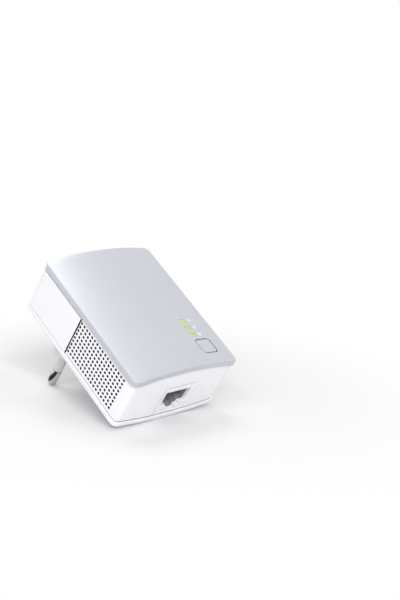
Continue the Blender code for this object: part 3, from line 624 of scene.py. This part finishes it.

# %% [markdown]
# ## The pair button
#
# The cap lies flush in its hole with a hairline gap. It is the same lacquer as the cover, so the dark
# gap alone draws it; the walls on both sides of the gap take painted shade. Its top is a pattern on
# the arch, with a rounded rim, a wall and a collar that catches under the cover. A stem below the
# middle reaches the switch.

# %% Build the button
BUTTON_RIM, CAP_DEPTH, COLLAR = 0.2, 2.5, 0.7
STEM_RADIUS, STEM_STEPS = 1.5, 24
cap = Shape()
x0, x1, y0, y1 = BUTTON
stem_x, stem_y = (x0 + x1) / 2, (y0 + y1) / 2
wall = rounding(BUTTON_RIM) + [(0, 1.7), (-COLLAR, 1.75), (-COLLAR, CAP_DEPTH), (2.4, CAP_DEPTH)]
side_z = face_z(button_outline()[:, 0])
rows = np.array([np.column_stack([button_outline(-inset), side_z - drop]) for inset, drop in wall])
cap.grid(rows)
for row, drop in ((rows[0], 0.0), (rows[-1], CAP_DEPTH)):
    flat, faces = pattern(row[:, :2], (), lattice(x0, x1, y0, y1, 0.8), 0.3)
    cap.add(fitted(flat, face_z(flat[:, 0]) - drop, row), faces)
stem_top = face_z(stem_x) - CAP_DEPTH + 0.2
stem_low = upright("pair_button")[:, 2].min() - ORIGIN[2]
stem = [(0.001, stem_top), (STEM_RADIUS, stem_top), (STEM_RADIUS, stem_low), (0.001, stem_low)]
cap.grid(
    [np.column_stack([ring(stem_x, stem_y, r, STEM_STEPS), np.full(STEM_STEPS, z)]) for r, z in stem]
)
button = cap.to_object("pair_button_cap")
button.data.materials.append(silver)
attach(button, "button")
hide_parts("pair_button")
# The cap's wall, collar and stem below its rim take painted shade, so that the gap round it reads dark.
paint_shade(button, shade, lambda c, n: c[:, 2] < face_z(c[:, 0]) - BUTTON_RIM)

# %% [markdown]
# ## The lights
#
# Each light is the end of a clear rod. The three rods end level with the face in slots with round
# ends, slightly domed so that they catch a highlight. Each is a stack of shrinking outlines with a
# flat pattern at either end.

# %% Build the light guide
DOME = 0.1  # the rods' ends rise from this far below the face to level with it
guide = Shape()
guide_low = upright("light_guide")[:, 2].min() - ORIGIN[2]
for cx, cy in LIGHTS:
    outline = light_slot(cx, cy)
    rows = [np.column_stack([outline, np.full(len(outline), guide_low)])]
    for share in (0.0, 0.35, 0.7, 0.92, 0.99):
        slim = (cx, cy) + (outline - (cx, cy)) * (1 - share)
        rise = DOME * (math.sqrt(1 - (1 - share) ** 2) - 1)
        rows.append(np.column_stack([slim, face_z(slim[:, 0]) + rise]))
    guide.grid(np.array(rows))
    flat, faces = pattern(rows[0][:, :2])
    guide.add(np.column_stack([flat, np.full(len(flat), guide_low)]), faces)
    flat, faces = pattern(rows[-1][:, :2])
    guide.add(np.column_stack([flat, face_z(flat[:, 0]) + rise]), faces)
light_guide = guide.to_object("light_guide_rods", merge=0.0005)
light_guide.data.materials.append(lime)
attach(light_guide, "adapter")
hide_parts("light_guide")

# %% [markdown]
# Beside each light a small white sign is printed on the lacquer: a switch-on ring, a house and a
# socket. They are thin films of ink, so each is a flat pattern bent onto the arch and a hair thick.

# %% Print the three signs
SIGN_X, SIGN, INK, STROKE = 15.9, 0.75, 0.03, 0.2


def scaled(points, x, y, size):
    """A drawing made size times as big, with its middle at x, y."""
    return np.asarray(points, float) * size + (x, y)


def printed(shape, outline, holes=()):
    """A film of ink: a flat pattern lifted to INK above the arch, and its underside on the arch."""
    flat, faces = pattern(outline, holes)
    z = face_z(flat[:, 0])
    thick(shape, np.column_stack([flat, z + INK]), np.column_stack([flat, z + 0.005]), faces)


signs = Shape()
low_y, mid_y, high_y = (y for _, y in LIGHTS)
open_ring = np.linspace(math.radians(125), math.radians(415), 19)
arc = np.stack([np.cos(open_ring), np.sin(open_ring)], -1)
bar = [(-0.13, 0.2), (0.13, 0.2), (0.13, 1.15), (-0.13, 1.15)]
printed(signs, scaled(np.concatenate([arc, arc[::-1] * (1 - STROKE / SIGN)]), SIGN_X, high_y, SIGN))
printed(signs, scaled(bar, SIGN_X, high_y, SIGN))


def mirrored(right):
    """A drawing from its right half, listed upwards: the half, then its mirror image downwards."""
    right = np.array(right, float)
    left = (right * (-1, 1))[::-1]
    return np.concatenate([right, left[left[:, 0] < 0]])


house = mirrored([(0.75, -0.9), (0.75, 0.05), (1.1, 0.05), (0, 1.1)])
door = mirrored([(0.42, -0.6), (0.42, 0.2), (0, 0.62)])
printed(signs, scaled(house, SIGN_X, mid_y, SIGN), [scaled(door, SIGN_X, mid_y, SIGN)])
socket = mirrored([(1, -0.8), (1, 0.8), (0.4, 0.8), (0.4, 1.1)])
socket_hole = mirrored([(0.7, -0.5), (0.7, 0.5)])
printed(signs, scaled(socket, SIGN_X, low_y, SIGN), [scaled(socket_hole, SIGN_X, low_y, SIGN)])
light_signs = signs.to_object("light_signs_print", merge=0.0002)
light_signs.data.materials.append(print_white)
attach(light_signs, "adapter")

# %% [markdown]
# ## The body
#
# The white body is a wall that runs round the case. Unrolled, it is a strip: the distance along the
# outline one way and z the other. The strip has windows for the vents and stops at either side of the
# port. It is wrapped back round the outline and given its thickness. The outline steps in where the
# vented half begins. A groove at that step, with painted shade on its faces and on the step's own
# face, is the dark line half way along each side.

# %% The outline with its steps
# The groove's faces and the step's outer face take painted shade further on.
GROOVE, GROOVE_DEPTH = 0.32, 1.2  # a shadow groove at the foot of the step
SHY = 0.12  # how far the smooth half stands back from the covers' edges


def body_outline():
    """The body's plan: the vented half stands back by STEP from the smooth half."""
    core, full = HALF - STEP, HALF - SHY
    small, large = CORNER - STEP, CORNER
    soft = 0.12  # radius of the step's outer edge
    turn = np.linspace(0, np.pi / 2, 9)

    def corner(cx, cy, radius, start):
        angle = start + turn
        return np.stack([cx + radius * np.cos(angle), cy + radius * np.sin(angle)], -1)

    def run(a, b, steps):
        return np.array(a) + np.linspace(0, 1, steps + 1)[1:-1, None] * (np.array(b) - np.array(a))

    top, foot = LENGTH - SHY, STEP_Y - GROOVE
    right = [
        run((0, STEP), (core - small, STEP), 16),
        corner(core - small, STEP + small, small, -np.pi / 2),
        run((core, STEP + small), (core, foot), 18),
        [(core, foot), (core - GROOVE_DEPTH, foot), (core - GROOVE_DEPTH, STEP_Y)],
        [(core, STEP_Y), (full - soft, STEP_Y)],
        corner(full - soft, STEP_Y + soft, soft, -np.pi / 2)[2::3],
        run((full, STEP_Y + soft), (full, top - large), 16),
        corner(full - large, top - large, large, 0),
        run((full - large, top), (0, top), 16),
    ]
    right = np.concatenate([[(0, STEP)]] + [np.asarray(piece, float) for piece in right] + [[(0, top)]])
    left = (right * (-1, 1))[::-1][1:-1]
    return np.concatenate([right, left])


outline = body_outline()
closed = np.concatenate([outline, outline[:1]])
reach = np.concatenate([[0], np.cumsum(np.linalg.norm(np.diff(closed, axis=0), axis=1))])
WALL = 1.8
print("body outline", round(reach[-1], 1), "mm round")


# %% The strip's edges and windows
def low_z(x):
    """The body's lower edge, one seam above the back cover."""
    return back_z(x) + BACK_BAND + LOW_SEAM


def high_z(x):
    """The body's upper edge, one seam below the front cover."""
    return face_z(x) - FACE_BAND - SEAM


def along(x, y):
    """How far round the outline its nearest point to (x, y) lies."""
    ends = closed[1:] - closed[:-1]
    t = (((x, y) - closed[:-1]) * ends).sum(1) / (ends**2).sum(1)
    t = t.clip(0, 1)
    gaps = np.hypot(*((closed[:-1] + t[:, None] * ends) - (x, y)).T)
    i = int(gaps.argmin())
    return reach[i] + t[i] * np.linalg.norm(ends[i])


PORT_X = 1.7
POCKET = (PORT_X - 8.25, PORT_X + 8.25, 15.4)  # the port plate's x from and to, and its top
VENT = (5.25, 36.2, 3.45, 19.87)  # a window's y from and to, z from and to
VENT_GAP = 0.02
# The strip starts at the right of the port and ends at its left, so that no cut runs over the start
# and the port's plate closes the ring.
start, end = along(POCKET[1], STEP), along(POCKET[0], STEP)
between = reach[(reach > start) & (reach < end)]
columns = np.concatenate([[start], between, [end]]).round(6)


def plan(u):
    """The outline's x and y at distance u round it."""
    u = np.asarray(u, float) % reach[-1]
    return np.stack([np.interp(u, reach, closed[:, 0]), np.interp(u, reach, closed[:, 1])], -1)


def inner_plan(flat):
    """The wall's inner side: the same point, held within the rectangle that the wall leaves."""
    x = flat[:, 0].clip(-(HALF - STEP - WALL), HALF - STEP - WALL)
    y = flat[:, 1].clip(STEP + WALL, LENGTH - STEP - WALL)
    return np.stack([x, y], -1)


bottom = np.stack([columns, low_z(plan(columns)[:, 0])], -1)
top = np.stack([columns, high_z(plan(columns)[:, 0])], -1)[::-1]
rise = np.linspace(0, 1, 12)[1:-1, None]
strip = np.concatenate(
    [bottom, bottom[-1] + rise * (top[0] - bottom[-1]), top, top[-1] + rise * (bottom[0] - top[-1])]
)
windows = []
PITCH = 1.84  # the vent holes' spacing
for side in (1, -1):
    u0, u1 = sorted(along(side * (HALF - STEP), y) for y in VENT[:2])
    window = np.array([(u0, VENT[2]), (u1, VENT[2]), (u1, VENT[3]), (u0, VENT[3])])
    windows.append(refined(window, PITCH))
levels = np.arange(2.5, 21.5, 1.6)
u, z = np.meshgrid(columns, levels, indexing="ij")
flat, faces = pattern(strip, windows, np.stack([u.ravel(), z.ravel()], -1), 0.12)
outer = plan(flat[:, 0])
body = Shape()
thick(body, np.column_stack([outer, flat[:, 1]]), np.column_stack([inner_plan(outer), flat[:, 1]]), faces)

# %% [markdown]
# The port end closes the strip: a bridge above, and below it a plate that lies a tenth of a
# millimetre deeper. A hairline gap at the plate's left and upper edges, with painted shade on its
# walls, shows that it is an insert. It holds the port's stepped opening, whose two notches take a
# plug's latch.

# %% The port's plate and opening
LATCH = ((6.8, 1.3), (4.3, 2.0))  # width and depth of each notch
PORT_TOP, PORT_W, PORT_H = 12.4, 12.7, 7.6
POCKET_Y = STEP + 0.1
PLATE_GAP = 0.28
MOUTH = 0.18  # how far the opening's edge is eased


def port_outline(margin=0.0):
    """The opening in x and z: a rectangle with two notches, one in the other, towards the back."""
    half, z = PORT_W / 2 + margin, PORT_TOP - PORT_H - margin
    side = [(half, PORT_TOP + margin), (half, z)]
    for width, depth in LATCH:
        side.append((width / 2 + margin, z))
        z -= depth
        side.append((width / 2 + margin, z))
    side = np.array(side)
    return np.concatenate([side, (side * (-1, 1))[::-1]])[::-1] + (PORT_X, 0)


x0, x1, z1 = POCKET
xs = np.linspace(x0, x1, 18)
bridge = refined(np.concatenate([[(x0, z1), (x1, z1)], np.stack([xs, high_z(xs)], -1)[::-1]]), 1.6)
flat, faces = pattern(bridge, (), lattice(x0, x1, z1, 25, 1.2), 0.3)
front = np.column_stack([flat[:, 0], np.full(len(flat), STEP), flat[:, 1]])
thick(body, front, front + (0, WALL, 0), faces)
xs = np.linspace(x0 + PLATE_GAP, x1, 18)
plate_top = [(x1, z1 - PLATE_GAP), (x0 + PLATE_GAP, z1 - PLATE_GAP)]
plate_edge = refined(np.concatenate([plate_top, np.stack([xs, low_z(xs)], -1)]), 1.6)[::-1]
opening = refined(port_outline(MOUTH), 1.0)
flat, faces = pattern(plate_edge, [opening], lattice(x0, x1, 0, 17, 1.2), 0.3)
front = np.column_stack([flat[:, 0], np.full(len(flat), POCKET_Y), flat[:, 1]])
thick(body, front, front + (0, STEP + WALL - POCKET_Y, 0), faces)
inner_y = STEP + WALL
profile = [(MOUTH, POCKET_Y), (MOUTH / 3, POCKET_Y + 0.05), (0.0, POCKET_Y + 0.2)]
profile += [(0.0, inner_y), (MOUTH, inner_y), (MOUTH, POCKET_Y)]
mouth = []
for margin, y in profile:
    loop = port_outline(margin)
    mouth.append(np.column_stack([loop[:, 0], np.full(len(loop), y), loop[:, 1]]))
body.grid(mouth)
housing = body.to_object("housing_shell", sharp=30, merge=0.002)
housing.data.materials.append(white)
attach(housing, "adapter")
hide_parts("housing")


def housing_painted_shade(c, n):
    """The faces that take painted shade: the cavity's walls, the rims under the covers, the groove with
    the step's outer face, and the gap round the port's plate. A face counts as turned one way when its
    normal's part that way is over 0.7."""
    x, y, z = np.abs(c[:, 0]), c[:, 1], c[:, 2]
    across, lengthwise, upward = (np.abs(n) > 0.7).T
    inner_x, near = HALF - STEP - WALL, 0.02
    cavity = (x < inner_x + 0.05) & (y > inner_y - 0.05) & (y < LENGTH - inner_y + 0.05)
    rims = upward & ((z < low_z(x) + 0.3) | (z > high_z(x) - 0.3))
    groove = (np.abs(y - STEP_Y + GROOVE / 2) < GROOVE / 2 + near) & (x > inner_x)
    left, right, lid = POCKET
    beside = across & (np.abs(c[:, 0] - left - PLATE_GAP / 2) < PLATE_GAP / 2 + near)
    above = upward & (np.abs(z - lid + PLATE_GAP / 2) < PLATE_GAP / 2 + near)
    above &= (c[:, 0] > left) & (c[:, 0] < right)
    gap = (beside | above) & (y > STEP + near) & (y < inner_y) & (z < lid + near)
    return cavity | rims | gap | groove & ((x < HALF - STEP - near) | lengthwise)


# The housing's cavity, seam rims, groove, step face and the gap round the plate take painted shade.
paint_shade(housing, shade, housing_painted_shade)

# %% [markdown]
# ## The vents
#
# Each grille is a thin plate with a square grid of round holes, 17 along and 9 across. The plate is
# one flat pattern: every hole is a twelve-sided ring, and the thickness gives each its own wall. All
# but the outer face takes painted shade, a near-black colour in place of the white, so that the holes
# read as black.

# %% Build the two grilles
HOLE_RADIUS, GRILLE_WALL = 0.58, 1.0
HOLE_Y = 6.1 + PITCH * np.arange(17)
HOLE_Z = 4.3 + PITCH * np.arange(9)
y0, y1, z0, z1 = np.array(VENT) + np.array([1, -1, 1, -1]) * VENT_GAP
edge = refined(np.array([(y0, z0), (y1, z0), (y1, z1), (y0, z1)]), PITCH)
rings = [ring(y, z, HOLE_RADIUS, 12) for y in HOLE_Y for z in HOLE_Z]
flat, faces = pattern(edge, rings)
for side, name in ((-1, "vent_grille_left"), (1, "vent_grille_right")):
    plate = Shape()
    outside = np.column_stack([np.full(len(flat), side * (HALF - STEP)), flat])
    deep = outside - (side * GRILLE_WALL, 0, 0)
    thick(plate, outside, deep, faces if side > 0 else faces[:, ::-1])
    grille = plate.to_object(name + "_plate", merge=0.0005)
    grille.data.materials.append(white)
    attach(grille, "adapter")
    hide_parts(name)
    # The holes' walls and the plate's back take painted shade.
    paint_shade(grille, shade, lambda c, n: np.abs(c[:, 0]) < HALF - STEP - 0.05)

# %% [markdown]
# ## The back cover and its plug
#
# The back is a shallow tray with an arched floor. The plug grows out of it: a flattened hexagon, the
# form that slides into any two-pin wall socket, with soft edges and a rounded root. Rings of its
# outline, each with its own inset and height, are joined from the root to the end.

# %% The plug's outline
PLUG_Y, PLUG_LENGTH, PLUG_FLAT, PLUG_WIDTH = 49.0, 35.3, 22.0, 13.7
PIN_X, PIN_SEAT = 9.5, 2.02  # the pins' places and the radius of their holes
BACK_ROUND = 0.6


def plug_outline(inset, radius=1.2, steps=6):
    """The hexagon drawn in by inset, with its corners rounded: each corner is an arc that touches
    both of its sides."""
    slant = math.hypot((PLUG_LENGTH - PLUG_FLAT) / 2, PLUG_WIDTH / 2)
    tip = PLUG_LENGTH / 2 - inset * slant / (PLUG_WIDTH / 2)
    half = PLUG_WIDTH / 2 - inset
    flat = tip - half * (PLUG_LENGTH - PLUG_FLAT) / PLUG_WIDTH
    corners = [(tip, 0), (flat, half), (-flat, half), (-tip, 0), (-flat, -half), (flat, -half)]
    corners = np.array(corners)
    before, after = np.roll(corners, 1, 0), np.roll(corners, -1, 0)
    points = []
    for a, b, c in zip(before, corners, after):
        u, v = (a - b) / np.linalg.norm(a - b), (c - b) / np.linalg.norm(c - b)
        half_angle = math.acos(float(u @ v)) / 2
        cut = radius / math.tan(half_angle)
        centre = b + (u + v) / np.linalg.norm(u + v) * radius / math.sin(half_angle)
        p, q = b + u * cut - centre, b + v * cut - centre
        share = np.linspace(0, 1, steps + 1)[:, None]
        arc = p * (1 - share) + q * share
        points.append(centre + arc / np.linalg.norm(arc, axis=1)[:, None] * radius)
    return np.concatenate(points) + (0, PLUG_Y)


# %% Build the back cover
tray = Shape()
rows = cover_rings(
    [(COVER_WALL, BACK_BAND - 0.4), (COVER_WALL, BACK_BAND), (POCKET_Y, BACK_BAND), (STEP, BACK_BAND)]
    + [(0.12, BACK_BAND), (0, BACK_BAND - 0.12)]
    + rounding(BACK_ROUND)[::-1],
    back_z,
    -1,
)
tray.grid(rows)
root = plug_outline(-0.5, 1.6)
holes = [ring(x, PLUG_Y, PIN_SEAT, 32) for x in (-PIN_X, PIN_X)]
arched_sheet(tray, rows[-1], [root], back_z)
profile = []
for inset, radius, depth in [(-0.5, 1.6, 0.0), (-0.18, 1.35, 0.08), (-0.02, 1.22, 0.35), (0.0, 1.2, 0.8)]:
    profile.append(np.column_stack([plug_outline(inset, radius), back_z(root[:, 0]) - depth]))
for inset, height in [(0.25, 0.5), (0.33, 0.18), (0.5, 0.04), (0.75, 0.0)]:
    loop = plug_outline(inset)
    profile.append(np.column_stack([loop, np.full(len(loop), -plug_end + height)]))
tray.grid(np.array(profile))
flat, faces = pattern(profile[-1][:, :2], holes, lattice(-18, 18, 42, 56, 2.0), 0.5)
tray.add(np.column_stack([flat, np.full(len(flat), -plug_end)]), faces)
bottoms = -plug_end + 2.4
for hole in holes:
    tray.grid([np.column_stack([hole, np.full(len(hole), z)]) for z in (-plug_end, bottoms)])
hollow = plug_outline(1.8, 0.6)
flat, faces = pattern(hollow, holes)
tray.add(np.column_stack([flat, np.full(len(flat), bottoms)]), faces)


def tray_floor(x):
    """The tray's inner floor, which follows its outside."""
    return back_z(x) + BACK_BAND - 0.4


tray.grid([np.column_stack([hollow, z]) for z in (np.full(len(hollow), bottoms), tray_floor(hollow[:, 0]))])
arched_sheet(tray, rows[0], [hollow], tray_floor)
back_cover = tray.to_object("back_cover_tray", sharp=30)
back_cover.data.materials.append(white)
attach(back_cover, "adapter")
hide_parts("back_cover")


def tray_painted_shade(c, n):
    """Where the back cover takes painted shade: all that the body covers, but not the ledge before
    the port's plate, which stays in sight.
    """
    ledge = (c[:, 1] < POCKET_Y) & (np.abs(c[:, 0] - PORT_X) < POCKET[1] - PORT_X)
    return (c[:, 2] > back_z(c[:, 0]) + 0.45) & (inset_of(c) > STEP - 0.05) & ~ledge


# The tray's faces under the body take painted shade, which shows in the seams.
paint_shade(back_cover, shade, tray_painted_shade)

# %% [markdown]
# ## The pins
#
# A pin is turned on a lathe, so it is a profile of radius and height spun about its own axis. The
# metal ends in a dome. Above its bare length it is thinner, to take a sleeve that is a hair slimmer
# than the bare metal, and a flange inside the plug holds it.

# %% Build the pins and their sleeves
def spun(shape, x, y, profile, steps=40):
    """Radius and z pairs carried round a vertical axis through x, y: x + r cos a, y + r sin a, z."""
    angle = np.arange(steps) * 2 * np.pi / steps
    radius, z = np.array(profile, float).T[:, :, None]
    rows = np.stack([x + radius * np.cos(angle), y + radius * np.sin(angle), np.repeat(z, steps, 1)], -1)
    return shape.grid(rows)


PIN, CORE, SLEEVE, FLANGE = 1.99, 1.3, 1.9, 2.9  # radii
tip, bare = -plug_end - 19.0, -plug_end - 10.0
pin_top = upright("plug_pin_left")[:, 2].max() - ORIGIN[2]
dome = [(PIN * math.sin(a), tip + PIN * (1 - math.cos(a))) for a in np.linspace(0.02, np.pi / 2, 12)]
collar, collar_top = -plug_end + 2.7, -plug_end + 3.9
pin_profile = [(1e-4, tip)] + dome + [(PIN, bare - 0.42), (PIN - 0.05, bare - 0.34)]
pin_profile += [(CORE, bare - 0.32), (CORE, collar), (FLANGE, collar), (FLANGE, collar_top)]
pin_profile += [(CORE, collar_top), (CORE, pin_top), (1e-4, pin_top)]
low, high, bore = bare - 0.28, collar - 0.3, 1.6
sleeve_profile = [(bore, low), (SLEEVE - 0.08, low), (SLEEVE, low + 0.08), (SLEEVE, high)]
sleeve_profile += [(bore, high), (bore, low)]
for x, side in ((-PIN_X, "left"), (PIN_X, "right")):
    metal = spun(Shape(), x, PLUG_Y, pin_profile).to_object(f"plug_pin_{side}_metal", merge=0.001)
    metal.data.materials.append(nickel)
    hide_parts(f"plug_pin_{side}")
    tube = spun(Shape(), x, PLUG_Y, sleeve_profile).to_object(f"pin_sleeve_{side}_tube", merge=0.001)
    tube.data.materials.append(sleeve)
    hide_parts(f"pin_sleeve_{side}")
    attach(metal, "adapter")
    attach(tube, "adapter")

# %% [markdown]
# ## The network socket
#
# Behind the port stands a grey moulded block with the same stepped cavity, closed at its far end.
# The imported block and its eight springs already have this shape, and the port hides their edges, so
# they stay and only take their finish.

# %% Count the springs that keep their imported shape
springs = [name for name in frame["nodes"] if name.startswith("jack_contact")]
print(len(springs), "springs in the socket")

# %% [markdown]
# ## The table
#
# The adapter stands on a plain pale table. Near it the table is a matt surface that takes its shadow.
# From 5 to 15 cm out it fades into even white, which only the camera, reflections and glass see, so
# that the white brings no extra light onto the adapter.

# %% The table
TABLE_HALF = 4.0


def rectangle(x0, x1, y0, y1, z=0.0):
    """The four corners of a level rectangle."""
    return [(x0, y0, z), (x1, y0, z), (x1, y1, z), (x0, y1, z)]


table_top = bpy.data.meshes.new("table")
corners = rectangle(-TABLE_HALF, TABLE_HALF, -TABLE_HALF, TABLE_HALF)
table_top.from_pydata(corners, [], [(0, 1, 2, 3)])
table = bpy.data.objects.new("table", table_top)
bpy.context.scene.collection.objects.link(table)
table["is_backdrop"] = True
floor, tree, shader = material("table_white", base_color=(0.8, 0.8, 0.805), roughness=0.6)
shader.inputs["Specular IOR Level"].default_value = 0.1
table.data.materials.append(floor)
here = node(tree, "ShaderNodeTexCoord", output=3)
far = node(tree, "ShaderNodeVectorMath", {"operation": "LENGTH"}, {0: here}, output=1)
reach_of_fade = {"Value": far, "From Min": 0.05, "From Max": 0.15}
fade = node(tree, "ShaderNodeMapRange", {"interpolation_type": "SMOOTHSTEP"}, reach_of_fade)


def seen_rays(tree):
    """1 on rays from the camera, a reflection or a glass, and 0 on rays that only bring light."""
    path = node(tree, "ShaderNodeLightPath").node.outputs
    rays = [Value(tree, path[name]) for name in ("Is Camera Ray", "Is Glossy Ray", "Is Transmission Ray")]
    return rays[0] + rays[1] + rays[2]


bright = node(tree, "ShaderNodeEmission", None, {"Color": (1, 1, 1, 1), "Strength": 1.0})
share = Value(tree, fade) * seen_rays(tree)
surface = node(tree, "ShaderNodeMixShader", None, {0: share, 1: shader.outputs[0], 2: bright})
tree.links.new(surface, tree.nodes["Material Output"].inputs["Surface"])

# %% [markdown]
# ## Camera and lamps
#
# A long lens keeps the case's edges nearly parallel. Three wide soft lamps and an even sky light the
# adapter at a level at which a colour looks as it was chosen. Bright metal shows what stands round
# it, and with nothing but white about it a pin would have no edge, so two dark cards lie on the table
# that only reflections show.

# %% The camera
camera = bpy.data.objects.new("camera", bpy.data.cameras.new("camera"))
bpy.context.scene.collection.objects.link(camera)
bpy.context.scene.camera = camera
camera.data.lens = 72
camera.location = (-0.2974, -0.34084, 0.15257)
camera.rotation_euler = [math.radians(a) for a in (76.388, -2.863, -43.888)]
camera.data.clip_start = 0.01


# %% The lamps
def lamp(name, place, aim, width, height, power):
    """A rectangular soft lamp at place, facing aim."""
    light = bpy.data.lights.new(name, "AREA")
    light.shape, light.size, light.size_y, light.energy = "RECTANGLE", width, height, power
    obj = bpy.data.objects.new(name, light)
    obj.location = place
    obj.rotation_euler = (Vector(aim) - Vector(place)).to_track_quat("-Z", "Y").to_euler()
    bpy.context.scene.collection.objects.link(obj)
    return obj


lamp("key", (-0.75, -0.35, 0.75), (0, 0, 0.03), 0.5, 0.5, 2.6)
fill = lamp("fill", (-0.5, -0.85, 0.58), (0, 0, 0.03), 0.45, 0.4, 8.0)
fill.visible_glossy = False
lamp("top", (0.1, 0.36, 0.93), (0, 0, 0.03), 0.6, 0.6, 2.9)


# %% Cards for the pins' reflections, and the sky
def floor_flag(name, x0, x1, y0, y1, height=0.0004):
    """A dark card a hair above the table, which only reflections show. It gives metal its edges."""
    mesh = bpy.data.meshes.new(name)
    mesh.from_pydata(rectangle(x0, x1, y0, y1, height), [], [(0, 1, 2, 3)])
    card = bpy.data.objects.new(name, mesh)
    bpy.context.scene.collection.objects.link(card)
    card.data.materials.append(shade)
    card.visible_camera = card.visible_diffuse = False
    card.visible_shadow = card.visible_transmission = False
    card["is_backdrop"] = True


floor_flag("flag_left", -0.05, -0.0143, 0.02, 0.08)
floor_flag("flag_behind", -0.006, 0.03, 0.034, 0.08)

world = bpy.data.worlds.new("studio")
bpy.context.scene.world = world
world.use_nodes = True
background = world.node_tree.nodes["Background"]
background.inputs["Color"].default_value = (1, 1, 1, 1)
ambient = 0.5
strength = seen_rays(world.node_tree) * (1 - ambient) + ambient
world.node_tree.links.new(strength.socket, background.inputs["Strength"])
bpy.context.scene.view_settings.view_transform = "Standard"

# %% The new shape's overall box
low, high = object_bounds()
print("visual box from", tuple(low), "to", tuple(high))
